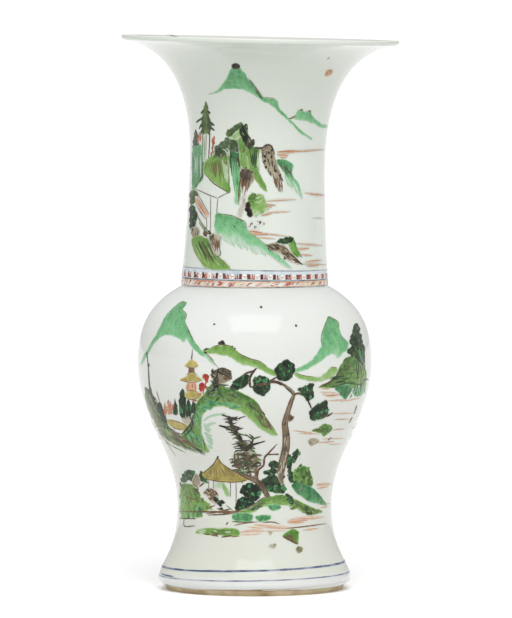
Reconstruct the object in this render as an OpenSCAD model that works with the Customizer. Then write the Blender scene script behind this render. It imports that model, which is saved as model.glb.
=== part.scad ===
// Yen yen vase: a trumpet-necked porcelain vase, thrown in sections that are luted together with slip
// and glazed inside and out. Sizes in mm. +Z is up, the foot stands on z = 0, and the front faces -Y.

/* [Outline] */
// Height from the table to the top of the lip, along the axis
height = 450; // [440:1:460]
// Radius of the mouth at the edge of the lip
lip_r = 111.6; // [108:0.2:116]
// Angle at which the flare meets the lip, above level
lip_rise = 9; // [6:1:14]
// Smallest radius of the neck
throat_r = 54.9; // [52:0.1:58]
// Height of the smallest part of the neck
throat_z = 344; // [335:1:350]
// Radius where the neck stands on the shoulder
collar_r = 59.7; // [58.8:0.1:64]
// Largest radius of the body
belly_r = 95.2; // [90:0.2:100]
// Radius of the waist above the foot
waist_r = 62.8; // [60:0.2:66]
// Largest radius of the spreading foot
foot_r = 78.2; // [76:0.2:82]
// Height at which the foot is widest
foot_edge_z = 10; // [9:0.5:12]
// Angle by which the neck was luted out of plumb, towards +X
neck_lean = 1.3; // [0:0.1:1.8]

/* [Curves] */
// Reach of the upright part of the neck's flare
flare_low = 18; // [12:1:26]
// Reach of the outward part of the neck's flare
flare_high = 60; // [50:1:64]
// Slope at which the neck leaves its collar
collar_slope = 6; // [2:1:8]
// Reach of the neck's curve above its collar
collar_high = 10; // [8:1:12]
// Reach of the neck's curve under its smallest part
throat_low = 24; // [20:1:28]
// Slope at which the shoulder leaves the neck
shoulder_slope = 29; // [24:1:34]
// Reach of the shoulder's curve beside the neck
shoulder_high = 22; // [18:1:25]
// Reach of the shoulder's curve above the belly
shoulder_low = 34; // [30:1:38]
// Reach of the body's curve under the belly
belly_low = 48; // [42:1:54]
// Reach of the body's curve above the waist
waist_high = 44; // [38:1:50]
// Reach of the foot's curve under the waist
waist_low = 36; // [30:1:40]
// Reach of the foot's curve above its widest part
foot_high = 10; // [8:1:12]
// Reach of the foot's curve under its widest part
foot_low = 2.6; // [2:0.2:3.2]
// Outward reach of the foot's curve at the edge of the glaze
edge_out = 2.6; // [2:0.2:3.2]
// Upward reach of the foot's curve at the edge of the glaze
edge_up = 1.6; // [1:0.2:2]
// Reach of the inner wall's curve under the waist
inner_low = 30; // [26:1:32]
// Reach of the inner wall's curve above the floor
floor_high = 14; // [12:1:16]
// Inward slant of the inner wall over that reach
floor_slant = 4; // [3:0.5:5]

/* [Joints] */
// Height of the joint between neck and shoulder
neck_joint_z = 248; // [244:0.5:252]
// Height of the joint at the belly
belly_joint_z = 187; // [182:0.5:192]
// Height of the joint at the waist
waist_joint_z = 68; // [64:0.5:72]
// Thickness of the slip in every joint
slip_t = 1; // [0.6:0.1:1.4]

/* [Walls] */
// Thickness of the lip
lip_t = 3.2; // [2.8:0.1:4]
// Thickness of the neck at its collar
neck_wall = 4.6; // [4:0.1:5.2]
// Thickness of the body
body_wall = 5.4; // [5:0.1:6]
// Thickness of the glaze
glaze_t = 0.4; // [0.3:0.05:0.5]

/* [Foot and base] */
// Height to which the foot is left unglazed
glaze_edge_z = 4.6; // [3.6:0.2:5.4]
// Radius at the edge of the glaze
glaze_edge_r = 74.2; // [73.4:0.2:75]
// Outer radius of the flat rim that the vase stands on
rim_outer_r = 71.2; // [70:0.2:72.6]
// Radius of the recess inside that rim
recess_r = 62; // [60:0.5:64]
// Chamfer on the inner edge of that rim
rim_chamfer = 1.2; // [0.6:0.1:2]
// Height of the ledge that carries the base
ledge_z = 9; // [7:0.5:11]
// Width of that ledge
ledge_w = 4; // [3:0.2:5]
// Radius of the floor, where the foot's inner wall rises from it
floor_r = 69.2; // [68:0.2:70]
// Thickness of the base
base_t = 7; // [6:0.2:9]

/* [Hidden] */
$fn = 128;
// Facing joint heights: each joint is a level layer of slip between two sections
neck_foot_z = neck_joint_z + slip_t / 2;
shoulder_top_z = neck_joint_z - slip_t / 2;
shoulder_foot_z = belly_joint_z + slip_t / 2;
lower_top_z = belly_joint_z - slip_t / 2;
lower_foot_z = waist_joint_z + slip_t / 2;
foot_top_z = waist_joint_z - slip_t / 2;
// Inner radii at the joints
collar_in = collar_r - neck_wall;
belly_in = belly_r - body_wall;
waist_in = waist_r - body_wall;
// Straight collar at the foot of the neck, long enough to be cut level whatever the lean
collar_h = 2.4;
collar_spare = 4;
// Edge of the lip: its rounded end reaches the stated height once it is glazed
lip_z = height - glaze_t - lip_t / 2 * (1 + cos(lip_rise));
// Base: it lies on slip on the ledge, inside a ring of slip
seat_r = recess_r + ledge_w;
base_under_z = ledge_z + slip_t;
floor_z = base_under_z + base_t;

// Curves and paths, as [radius, height] points. Every path runs with the clay on its left.
function reversed(path) = [for (i = [len(path) - 1 : -1 : 0]) path[i]];
function tail(path) = [for (i = [1 : len(path) - 1]) path[i]];
function inside_ends(path) = [for (i = [1 : len(path) - 2]) path[i]];
function bezier(a, b, c, d, steps) =
    [for (i = [0 : steps]) let (t = i / steps, s = 1 - t)
        s * s * s * a + 3 * s * s * t * b + 3 * s * t * t * c + t * t * t * d];
function left_of(path, i) =
    let (way = path[min(i + 1, len(path) - 1)] - path[max(i - 1, 0)])
    [-way[1], way[0]] / norm(way);
// A path moved to its left by a distance that runs evenly from one value to another
function moved(path, from, to) =
    [for (i = [0 : len(path) - 1])
        path[i] + (from + (to - from) * i / (len(path) - 1)) * left_of(path, i)];
// A closed outline for a coat of even thickness on the right of a path
function coat(path, thickness) = concat(path, reversed(moved(path, -thickness, -thickness)));

// Neck, drawn upright: up the outside, round the lip and down the inside
neck_outer = concat(
    [[collar_r, neck_foot_z - collar_spare]],
    bezier([collar_r, neck_foot_z + collar_h],
        [collar_r - collar_high * sin(collar_slope), neck_foot_z + collar_h + collar_high * cos(collar_slope)],
        [throat_r, throat_z - throat_low], [throat_r, throat_z], 12),
    tail(bezier([throat_r, throat_z], [throat_r, throat_z + flare_low],
        [lip_r - flare_high * cos(lip_rise), lip_z - flare_high * sin(lip_rise)], [lip_r, lip_z], 26)));
neck_inner = moved(neck_outer, neck_wall, lip_t);
lip_in = neck_inner[len(neck_inner) - 1];
lip_mid = ([lip_r, lip_z] + lip_in) / 2;
lip_side = ([lip_r, lip_z] - lip_in) / 2;
lip_round = [for (turn = [30 : 30 : 150]) lip_mid + cos(turn) * lip_side + sin(turn) * [-lip_side[1], lip_side[0]]];
neck_path = concat(neck_outer, lip_round, reversed(inside_ends(neck_inner)),
    [[collar_in, neck_foot_z - collar_spare]]);

// Outer paths of the body's sections, each from its foot up
shoulder_outer = bezier([belly_r, shoulder_foot_z], [belly_r, shoulder_foot_z + shoulder_low],
    [collar_r + shoulder_high * cos(shoulder_slope), shoulder_top_z - shoulder_high * sin(shoulder_slope)],
    [collar_r, shoulder_top_z], 20);
lower_outer = bezier([waist_r, lower_foot_z], [waist_r, lower_foot_z + waist_high],
    [belly_r, lower_top_z - belly_low], [belly_r, lower_top_z], 26);
foot_outer = concat(
    bezier([glaze_edge_r, glaze_edge_z], [glaze_edge_r + edge_out, glaze_edge_z + edge_up],
        [foot_r, foot_edge_z - foot_low], [foot_r, foot_edge_z], 6),
    tail(bezier([foot_r, foot_edge_z], [foot_r, foot_edge_z + foot_high],
        [waist_r, foot_top_z - waist_low], [waist_r, foot_top_z], 18)));
// Inner paths of the same sections, from the foot up
shoulder_inner = concat([[belly_in, shoulder_foot_z]],
    inside_ends(moved(shoulder_outer, body_wall, body_wall)), [[collar_in, shoulder_top_z]]);
lower_inner = concat([[waist_in, lower_foot_z]],
    inside_ends(moved(lower_outer, body_wall, body_wall)), [[belly_in, lower_top_z]]);
foot_inner = bezier([floor_r, floor_z], [floor_r - floor_slant, floor_z + floor_high],
    [waist_in, foot_top_z - inner_low], [waist_in, foot_top_z], 14);

// Stands an upright neck outline on the neck joint: leans it and cuts its collar off level
module lean_on_joint(outline) {
    intersection() {
        translate([0, 0, neck_foot_z])
            rotate([0, neck_lean, 0])
                translate([0, 0, -neck_foot_z])
                    rotate_extrude()
                        polygon(outline);
        translate([-2 * lip_r, -2 * lip_r, neck_foot_z])
            cube([4 * lip_r, 4 * lip_r, height]);
    }
}

// Flat ring of slip between two sections
module slip_ring(inner_r, outer_r, foot_z) {
    translate([0, 0, foot_z])
        difference() {
            cylinder(h = slip_t, r = outer_r);
            translate([0, 0, -slip_t])
                cylinder(h = 3 * slip_t, r = inner_r);
        }
}

module neck_section() {
    color("Linen")
        lean_on_joint(neck_path);
}

module shoulder_section() {
    color("AntiqueWhite")
        rotate_extrude()
            polygon(concat(shoulder_outer, reversed(shoulder_inner)));
}

module lower_body_section() {
    color("Bisque")
        rotate_extrude()
            polygon(concat(lower_outer, reversed(lower_inner)));
}

module foot_section() {
    color("BurlyWood")
        rotate_extrude()
            polygon(concat(foot_outer, reversed(foot_inner), [
                [seat_r, floor_z],
                [seat_r, ledge_z],
                [recess_r, ledge_z],
                [recess_r, rim_chamfer],
                [recess_r + rim_chamfer, 0],
                [rim_outer_r, 0]]));
}

module base_disc() {
    color("Wheat")
        translate([0, 0, base_under_z])
            cylinder(h = base_t, r = seat_r - slip_t);
}

module neck_joint_slip() {
    color("Tan")
        slip_ring(collar_in, collar_r, shoulder_top_z);
}

module belly_joint_slip() {
    color("Tan")
        slip_ring(belly_in, belly_r, lower_top_z);
}

module waist_joint_slip() {
    color("Tan")
        slip_ring(waist_in, waist_r, foot_top_z);
}

// Slip under the edge of the base and round it
module base_joint_slip() {
    color("Tan")
        rotate_extrude()
            polygon([
                [recess_r, ledge_z],
                [seat_r, ledge_z],
                [seat_r, floor_z],
                [seat_r - slip_t, floor_z],
                [seat_r - slip_t, base_under_z],
                [recess_r, base_under_z]]);
}

// Glaze over the neck, from its collar over the lip and down the inside
module neck_glaze() {
    color("Azure")
        lean_on_joint(coat(neck_path, glaze_t));
}

// Glaze over the outside of the body, from the unglazed foot rim up to the neck joint
module body_glaze() {
    color("MintCream")
        rotate_extrude()
            polygon(coat(concat(foot_outer, lower_outer, shoulder_outer, [[collar_r, neck_foot_z]]), glaze_t));
}

// Glaze over the inside of the body and the floor
module inner_glaze() {
    color("Honeydew")
        rotate_extrude()
            polygon(coat(concat([[collar_in, neck_foot_z]], reversed(shoulder_inner), reversed(lower_inner),
                reversed(foot_inner), [[0, floor_z]]), glaze_t));
}

// Glaze under the base, inside the foot rim
module base_glaze() {
    color("Ivory")
        translate([0, 0, base_under_z - glaze_t])
            cylinder(h = glaze_t, r = recess_r);
}

neck_section();
shoulder_section();
lower_body_section();
foot_section();
base_disc();
neck_joint_slip();
belly_joint_slip();
waist_joint_slip();
base_joint_slip();
neck_glaze();
body_glaze();
inner_glaze();
base_glaze();
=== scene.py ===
"""Looks of the yen yen vase: glaze skins, painted enamels, bare foot rim, studio and camera.

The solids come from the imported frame. The enamels are thin shapes laid on the glaze. Each painted
motif is placed by the pixel of the photograph where it shows, and a formula carries that pixel along
the camera's ray to the wall of the vase. Lengths are in mm until a mesh is made.
"""

import math
import random

import bpy
import numpy as np
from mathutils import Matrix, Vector
from mathutils.geometry import delaunay_2d_cdt


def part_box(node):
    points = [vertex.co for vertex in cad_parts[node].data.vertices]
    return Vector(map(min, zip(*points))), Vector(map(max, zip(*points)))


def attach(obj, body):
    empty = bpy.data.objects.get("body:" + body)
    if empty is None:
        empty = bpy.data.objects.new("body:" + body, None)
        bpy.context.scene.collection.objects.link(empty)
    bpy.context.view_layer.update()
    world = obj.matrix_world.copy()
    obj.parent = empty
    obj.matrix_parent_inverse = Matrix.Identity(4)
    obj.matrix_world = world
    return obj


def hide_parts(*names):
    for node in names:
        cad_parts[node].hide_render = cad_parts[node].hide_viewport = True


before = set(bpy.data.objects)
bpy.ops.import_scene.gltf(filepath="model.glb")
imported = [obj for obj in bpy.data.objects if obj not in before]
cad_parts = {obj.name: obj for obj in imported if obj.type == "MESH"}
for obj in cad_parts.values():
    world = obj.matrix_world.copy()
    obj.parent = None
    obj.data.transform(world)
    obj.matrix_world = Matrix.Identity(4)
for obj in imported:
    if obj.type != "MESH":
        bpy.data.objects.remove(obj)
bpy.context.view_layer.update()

MM = 0.001
TINY = 1e-9  # keeps divisions away from zero
MAP_MARGIN = 0.01  # share of a texture map left free at its edges

# Photograph and camera
PHOTO_WIDTH = 512
PHOTO_HEIGHT = 618
CAMERA_DISTANCE = 5430.0  # mm, as the three values after it
CAMERA_HEIGHT = 499.0
AIM_X = 1.1
AIM_HEIGHT = 228.6
SENSOR = 36.0
LENS = 388.0
FARTHEST_VIEW = 1000.0  # metres

# Vase
LEAN_EASE = 12.0  # mm above the neck joint over which the lean sets in
JOINT_SKIP = 2.2  # mm above the neck joint that are drawn straight
FREE_GAP = 0.1  # mm off the clay from which a ring of glaze counts as free
DOUBLE_GAP = 0.05  # mm within which two rings count as one
SEGMENTS = 256  # corners of a ring
WALL_STEPS = 4  # points on the wall's curve to each ring
SKIN_STEPS = 3  # points on the neck's skin to each ring
EDGE_OF_SIGHT = 0.985  # share of the radius that a pixel at the edge or past it is moved in to
TRACE_ROUNDS = 12  # steps in which a ray closes in on the wall

# Border round the foot of the neck, as heights and widths in mm
BORDER_TOP_LINE = 262.6
BORDER_STRIP_FOOT = 259.6
BORDER_BLOCK_FOOT = 255.3
BORDER_MIDDLE_LINE = 254.8
BORDER_SCROLL_TOP = 253.8
BORDER_SCROLL_FOOT = 249.0
BORDER_FOOT_LINE = 248.7
BORDER_UNITS = 36
BORDER_START = 0.71  # share of a unit that the first block is turned by
BORDER_LINE_HALF = 0.4
BORDER_TOP_LINE_BELOW = 0.5
BORDER_BLOCK = 5.9
BORDER_BLOCK_CHANGE = (-0.7, 0.5)
BORDER_DARK_SIDE = 0.36  # share of a block's width, as the two values after it
BORDER_DARK_ASIDE = 0.32
BORDER_LIGHT_ASIDE = 0.2
BORDER_LIGHT_GAP = 0.6
BORDER_LIGHT_SLANT = 1.3
BORDER_FLORET = 4.7
BORDER_FLORET_TALL = 0.88  # height of a floret as a share of its width
BORDER_PETALS = 3
BORDER_PETAL = 1.3
BORDER_PETAL_ASIDE = 1.4
BORDER_PETAL_UP = 1.2
BORDER_HEART = 1.1
BORDER_HEART_DROP = 0.3
BORDER_TOUCHES = 4  # slanting touches in the lower band to each unit
BORDER_TOUCH_ENDS = (0.2, 2.0)
BORDER_TOUCH_WIDTHS = (1.0, 3.0)
BORDER_TOUCH_SLANTS = (1.5, 4.0)
BORDER_KNOTS = 20
BORDER_KNOT_BELOW = 1.3
BORDER_KNOT_ABOVE = 1.2
BORDER_KNOT_WIDTHS = (1.5, 3.0)
BORDER_KNOT_SLANT = 2.4
BAND_WASHES = (0.05, 1.2)  # weakest and strongest wash in a line or band

# Blue lines round the foot, as heights in mm and slopes in degrees
FOOT_UPPER_LINE = 20.8
FOOT_UPPER_HALF = 0.8
FOOT_UPPER_SLOPE = 1.5
FOOT_LOWER_LINE = 13.0
FOOT_LOWER_HALF = 0.5
FOOT_LOWER_SLOPE = 1.0

# Dirt at the foot rim, in mm from where the glaze ends, and its slope in degrees
FOOT_DIRT_BELOW = 2.0
FOOT_DIRT_ABOVE = 1.6
FOOT_DIRT_SLOPE = 1.3

# Worn edge and chip of the lip: depth from its top and lift off the glaze in mm, turn in degrees
LIP_EDGE = 1.0
LIP_EDGE_LIFT = 0.05
LIP_EDGE_FADE = 1.2  # above 1, the edge has faded out before its sides
LIP_EDGE_WASH = 0.6
LIP_EDGE_UNEVEN = 0.25
LIP_CHIP_TURN = -137.6
LIP_CHIP_WIDE = 8.0
LIP_CHIP_DEEP = 2.0
LIP_CHIP_LIFT = 0.1
LIP_CHIP_COLUMNS = 11

# Heights between which the glaze changes: darker and yellower down the body, whiter at the foot, darker up
# the neck
YELLOW_GLAZE_FROM = 30.0
YELLOW_GLAZE_TO = 330.0
WHITE_FOOT_FROM = 18.0
WHITE_FOOT_TO = 8.0
# Up the neck the glaze darkens: painted shade under the flaring mouth
NECK_SHADE_FROM = 350.0
NECK_SHADE_TO = 475.0
CLOUD_SHARE = 0.5  # share of the clouds in the glaze that stays beside such a change

# Lift of the paint off the glaze in mm: a layer lies a step higher than the last, and so does a shape in it
LIFT = 0.06
LAYER_STEP = 0.004
SHAPE_STEP = 0.0004
SHAPE_STEPS = 8

# Washes and clumps
EDGE_UNEVEN = 0.3  # pixels that the edge of a wash strays
EDGE_WASH = 0.45  # share of the wash left at the edge of a filled shape
EDGE_SOFT = 0.9  # mm over which the wash gains its full strength
EDGE_SPREAD = 0.35  # mm that a wash spreads past its outline
LEAF_STEP = 2.2  # pixels between the lobes at the edge of a clump
LEAF_DEPTH = 0.9  # pixels that the lobes stand in or out

# Brushwork. A pair is the range that chance draws from, as a share of what it varies
STROKE_STEP = 1.5  # pixels between the points of a stroke
STROKE_WOBBLE = (0.8, 1.2)
STROKE_EDGE = 0.8  # share of the wash at the sides of a stroke
THIN_END = 0.12  # the root of this is the share of the width at the ends of a stroke
SOFT_TAPER = 0.4  # share of the length that thins at each end
FILL_STEP = 1.3  # pixels between the points round a filled shape
FILL_TONES = (0.88, 1.12)
FILL_BLEND = 0.05  # mm added to distances where the wash is blended from the edge
MERGE = 1e-4  # mm within which two corners of a filled shape are one
GRID_CLEAR = 0.4  # share of the grain that inner points keep from the edge
TOUCH_CORNERS = 9
TOUCH_ROUGH = (0.65, 1.2)
TOUCH_EDGE = 0.9  # share of the wash at the edge of a touch
DOT_SIZES = (0.7, 1.2)
BRUSH_TONES = (0.75, 1.1)
LEAF_SIZES = (0.6, 1.3)
LEAF_STRAY = 0.9  # pixels
LOBE_AREA = 30  # pixels of a clump to each light lobe
LOBE_SIZE = 1.4  # as a share of the leaves' size
LEAVES_PER_LOBE = 3
LEAF_WASH = 0.9
HATCH_SPREAD = 18  # degrees
HATCH_LENGTHS = (0.6, 1.3)
HATCH_WIDTHS = (0.7, 1.4)
HATCH_STRAY = 0.6  # pixels
STREAK_PLACES = (0.2, 0.8)
STREAK_STARTS = (0, 0.25)
STREAK_ENDS = (0.7, 1.25)
STREAK_WIDTHS = (1.0, 2.0)
STREAK_TONES = (0.7, 1.05)
STREAK_STRAY = 0.8  # pixels
WATER_COATS = [(1.6, 0.4), (0.6, 0.75)]  # width and wash of the soft coat and of the thin core
WATER_TONES = (0.8, 1.2)
WATER_SWAY = 0.5  # pixels
WATER_TAPER = 0.45

# Studio, in metres, watts and degrees
HORIZON_LIGHT = 0.62
HORIZON_TOP = 0.1  # rise of a direction, 0 to 1, up to which that light holds
WORLD_LIGHT = 0.78
WORLD_FROM = 0.4  # rise from which this light holds
SKY_LIGHT = 0.25
SKY_PLACE = (0, 0, 3)
SKY_AIM = (0, 0.001, 0)
SKY_SPREAD = 100
KEY_LIGHT = 1.5
KEY_PLACE = (0.2, -2.0, 2.0)
KEY_AIM = (0, 0, 0)
KEY_SPREAD = 50.0
FLOOR_HALF = 400.0
FLOOR_GLOW = 0.03
SOFT_BOX_POWER = 6.5
SOFT_BOX_PLACE = (0.0, -1.0, 1.55)
SOFT_BOX_AIM = (0, 0, 0.25)
SOFT_BOX_SIZE = (1.3, 0.95)

# Painted sides: turn of the landscape in degrees and its seed, and turns of the islets between
LANDSCAPES = [(0, 1), (180, 2)]
ISLET_TURNS = (50, -130)

# Red lines on the water round an islet at the side: left x and y, right x and y in pixels, width in mm
ISLET_WATER = [(296, 433, 312, 432, 0.8), (333, 430, 345, 429, 0.9), (318, 442, 334, 441, 1.1),
               (300, 449, 322, 448, 0.7)]


def linear(red, green, blue):
    """A screen colour, 0 to 255, as the linear colour that shaders take."""
    channels = []
    for value in (red, green, blue):
        share = value / 255
        channels.append(share / 12.92 if share <= 0.04045 else ((share + 0.055) / 1.055) ** 2.4)
    return (*channels, 1.0)


GLAZE = linear(199, 201, 198)
# Neck glaze at the mouth, darker than lower down: painted shade under the flare
NECK_GLAZE = linear(188, 193, 184)
LOW_NECK_GLAZE = linear(194, 199, 191)
# Glaze low on the body: darker and yellower than the glaze above it
LOWER_BODY_GLAZE = linear(188, 190, 179)


# Rings read from the frame


def turned_rings(node, lean=0.0, joint=0.0):
    """Distinct [radius, height] rings of a turned CAD node, set upright."""
    points = np.array([v.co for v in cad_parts[node].data.vertices]) / MM
    x = points[:, 0] * math.cos(lean) - (points[:, 2] - joint) * math.sin(lean)
    z = points[:, 0] * math.sin(lean) + (points[:, 2] - joint) * math.cos(lean) + joint
    return np.unique(np.round(np.c_[np.hypot(x, points[:, 1]), z], 2), axis=0)


def exposed_rings(glaze, clay):
    """Rings on the free side of a glaze: those outside the clay, going up, and those inside, going down."""
    gaps = np.linalg.norm(glaze[:, None] - clay[None], axis=2)
    nearest = clay[gaps.argmin(1)]
    free = gaps.min(1) > FREE_GAP
    outside = free & (glaze[:, 0] > nearest[:, 0])
    inside = free & ~outside
    up = glaze[outside][np.argsort(glaze[outside][:, 1])]
    down = glaze[inside][np.argsort(-glaze[inside][:, 1])]
    return up, down


def without_doubles(path):
    """The path without points that lie on the one before them."""
    kept = [path[0]]
    for point in path[1:]:
        if np.linalg.norm(point - kept[-1]) > DOUBLE_GAP:
            kept.append(point)
    return np.array(kept)


def smooth(points, closed=False, per_span=8):
    """A Catmull-Rom curve through the points, with the same number of columns."""
    points = np.array(points, float)
    if closed:
        padded = np.vstack([points[-1:], points, points[:2]])
    else:
        padded = np.vstack([2 * points[:1] - points[1:2], points, 2 * points[-1:] - points[-2:-1]])
    pieces = []
    steps = np.linspace(0, 1, per_span, endpoint=False)[:, None]
    for a, b, c, d in zip(padded, padded[1:], padded[2:], padded[3:]):
        pieces.append(0.5 * (2 * b + (c - a) * steps + (2 * a - 5 * b + 4 * c - d) * steps ** 2
                             + (3 * b - a - 3 * c + d) * steps ** 3))
    if not closed:
        pieces.append(points[-1:])
    return np.vstack(pieces)


def evenly(path, step, closed=False):
    """The same path with points about one step apart."""
    if closed:
        path = np.vstack([path, path[:1]])
    along = np.r_[0, np.cumsum(np.linalg.norm(np.diff(path[:, :2], axis=0), axis=1))]
    count = max(2, math.ceil(along[-1] / step))
    marks = np.linspace(0, along[-1], count + 1)
    if closed:
        marks = marks[:-1]
    return np.column_stack([np.interp(marks, along, column) for column in path.T])


def neck_lean():
    """The neck's lean, from the slope between the left and right tips of the lip."""
    corners = [v.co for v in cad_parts["neck_glaze"].data.vertices]
    left = min(corners, key=lambda point: point.x)
    right = max(corners, key=lambda point: point.x)
    return math.atan2(left.z - right.z, right.x - left.x)


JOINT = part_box("neck_glaze")[0].z / MM
LEAN = neck_lean()


class Wall:
    """A turned face of the vase that can be painted. Its axis may lean from the neck joint up."""

    def __init__(self, outline, lean):
        self.lean = lean
        self.curve = smooth(without_doubles(outline), per_span=WALL_STEPS)
        order = np.argsort(self.curve[:, 1])
        self.heights = self.curve[order, 1]
        self.radii = self.curve[order, 0]

    def radius(self, height):
        return np.interp(height, self.heights, self.radii)

    def slope(self, height):
        """How much the radius grows over one mm of height."""
        return self.radius(height + 0.5) - self.radius(height - 0.5)

    def leaned(self, points):
        """Upright points in mm, turned about the neck joint as far as the neck leans at their height."""
        share = np.clip((points[:, 2] - JOINT) / LEAN_EASE, 0, 1)
        angle = self.lean * share * share * (3 - 2 * share)
        up = points[:, 2] - JOINT
        x = points[:, 0] * np.cos(angle) + up * np.sin(angle)
        z = JOINT - points[:, 0] * np.sin(angle) + up * np.cos(angle)
        return np.c_[x, points[:, 1], z]

    def place(self, turn, height, lift):
        """Points on the wall, in mm: turn is 0 at the front and grows to the right."""
        height = np.clip(height, self.heights[0], self.heights[-1])
        slope = self.slope(height)
        size = np.sqrt(1 + slope * slope)
        radius = self.radius(height) + lift / size
        up = height - lift * slope / size
        return self.leaned(np.c_[radius * np.sin(turn), -radius * np.cos(turn), up])

    def trace(self, pixels):
        """The [turn, height] on the wall that each pixel of the photograph shows."""
        pixels = np.array(pixels, float)[:, :2]
        eye, rays = camera_rays(pixels)
        cos, sin = math.cos(self.lean), math.sin(self.lean)
        rise = eye[2] - JOINT
        start = np.array([eye[0] * cos - rise * sin, eye[1], JOINT + eye[0] * sin + rise * cos])
        way = np.c_[rays[:, 0] * cos - rays[:, 2] * sin, rays[:, 1], rays[:, 0] * sin + rays[:, 2] * cos]
        depth = np.full(len(pixels), self.radii.min())
        for _ in range(TRACE_ROUNDS):
            along = (-depth - start[1]) / way[:, 1]
            height = start[2] + along * way[:, 2]
            radius = self.radius(height)
            across = np.clip((start[0] + along * way[:, 0]) / radius, -EDGE_OF_SIGHT, EDGE_OF_SIGHT)
            depth = radius * np.sqrt(1 - across * across)
        return np.c_[np.arcsin(across), height]


def camera_rays(pixels):
    """The camera's place and one ray per pixel, in mm."""
    eye = np.array([AIM_X, -CAMERA_DISTANCE, CAMERA_HEIGHT])
    forward = np.array([AIM_X, 0.0, AIM_HEIGHT]) - eye
    forward /= np.linalg.norm(forward)
    right = np.array([1.0, 0.0, 0.0])
    up = np.cross(right, forward)
    pixel = SENSOR / LENS / PHOTO_HEIGHT
    across = (pixels[:, :1] - PHOTO_WIDTH / 2) * pixel
    above = (PHOTO_HEIGHT / 2 - pixels[:, 1:2]) * pixel
    return eye, forward + across * right + above * up


def read_walls():
    """The neck's and the body's painted walls, and the neck's whole glazed outline over the lip."""
    clay_nodes = ("foot_section", "waist_joint_slip", "lower_body_section", "belly_joint_slip",
                  "shoulder_section", "neck_joint_slip")
    clay = np.vstack([turned_rings(node) for node in clay_nodes])
    body_up, _ = exposed_rings(turned_rings("body_glaze"), clay)
    neck = turned_rings("neck_glaze", LEAN, JOINT)
    neck_clay = turned_rings("neck_section", LEAN, JOINT)
    collar = JOINT + JOINT_SKIP
    up, down = exposed_rings(neck[neck[:, 1] > collar], neck_clay[neck_clay[:, 1] > collar])
    up = np.vstack([[up[0, 0], JOINT], up])
    down = np.vstack([down, [down[-1, 0], JOINT]])
    return Wall(up, LEAN), Wall(body_up, 0.0), np.vstack([up, down])


NECK, BODY, NECK_OUTLINE = read_walls()


# Materials


def new_material(name):
    material = bpy.data.materials.new(name)
    material.use_nodes = True
    nodes = material.node_tree.nodes
    return material, nodes, material.node_tree.links, nodes["Principled BSDF"]


def add_noise(nodes, links, scale, detail=4.0, stretch=(1, 1, 1)):
    """A noise texture fixed to the object, in cycles to the metre."""
    coordinates = nodes.new("ShaderNodeTexCoord")
    mapping = nodes.new("ShaderNodeMapping")
    mapping.inputs["Scale"].default_value = stretch
    noise = nodes.new("ShaderNodeTexNoise")
    noise.inputs["Scale"].default_value = scale
    noise.inputs["Detail"].default_value = detail
    links.new(coordinates.outputs["Object"], mapping.inputs["Vector"])
    links.new(mapping.outputs["Vector"], noise.inputs["Vector"])
    return noise.outputs["Fac"]


def add_ramp(nodes, links, factor, stops):
    """A colour ramp through stops, each a place from 0 to 1 and a colour."""
    ramp = nodes.new("ShaderNodeValToRGB")
    elements = ramp.color_ramp.elements
    for element, (place, colour) in zip(elements, (stops[0], stops[-1])):
        element.position = place
        element.color = colour
    for place, colour in stops[1:-1]:
        elements.new(place).color = colour
    links.new(factor, ramp.inputs["Fac"])
    return ramp.outputs["Color"]


def add_bump(nodes, links, shader, height, strength, distance):
    bump = nodes.new("ShaderNodeBump")
    bump.inputs["Strength"].default_value = strength
    bump.inputs["Distance"].default_value = distance
    links.new(height, bump.inputs["Height"])
    links.new(bump.outputs["Normal"], shader.inputs["Normal"])


def glaze_material(name, upper, lower, rises):
    """Clear glaze over porcelain, with faint clouds, that changes from the lower to the upper colour.

    Each rise is a start and an end, as heights in mm, and the share of the clouds that stays beside it.
    """
    material, nodes, links, shader = new_material(name)
    split = nodes.new("ShaderNodeSeparateXYZ")
    links.new(nodes.new("ShaderNodeTexCoord").outputs["Object"], split.inputs["Vector"])
    shade = add_noise(nodes, links, scale=14, detail=5, stretch=(1, 1, 0.6))
    for start, end, weight in rises:
        rise = nodes.new("ShaderNodeMapRange")
        rise.inputs["From Min"].default_value = start * MM
        rise.inputs["From Max"].default_value = end * MM
        links.new(split.outputs["Z"], rise.inputs["Value"])
        total = nodes.new("ShaderNodeMath")
        total.operation = "MULTIPLY_ADD"
        links.new(shade, total.inputs[0])
        total.inputs[1].default_value = weight
        links.new(rise.outputs["Result"], total.inputs[2])
        shade = total.outputs["Value"]
    colour = add_ramp(nodes, links, shade, [(0.2, lower), (0.96, upper)])
    links.new(colour, shader.inputs["Base Color"])
    shader.inputs["Roughness"].default_value = 0.03
    shader.inputs["IOR"].default_value = 1.5
    waves = add_noise(nodes, links, scale=90, detail=2)
    add_bump(nodes, links, shader, waves, strength=0.12, distance=0.0004)
    return material


def bare_clay_material(name, pale, burnt, grain):
    """Unglazed porcelain, burnt in patches, with fine grit."""
    material, nodes, links, shader = new_material(name)
    patches = add_noise(nodes, links, scale=55, detail=6)
    colour = add_ramp(nodes, links, patches, [(0.3, pale), (0.62, burnt), (0.8, grain)])
    links.new(colour, shader.inputs["Base Color"])
    shader.inputs["Roughness"].default_value = 0.75
    grit = add_noise(nodes, links, scale=1500, detail=3)
    add_bump(nodes, links, shader, grit, strength=0.5, distance=0.0003)
    return material


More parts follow.
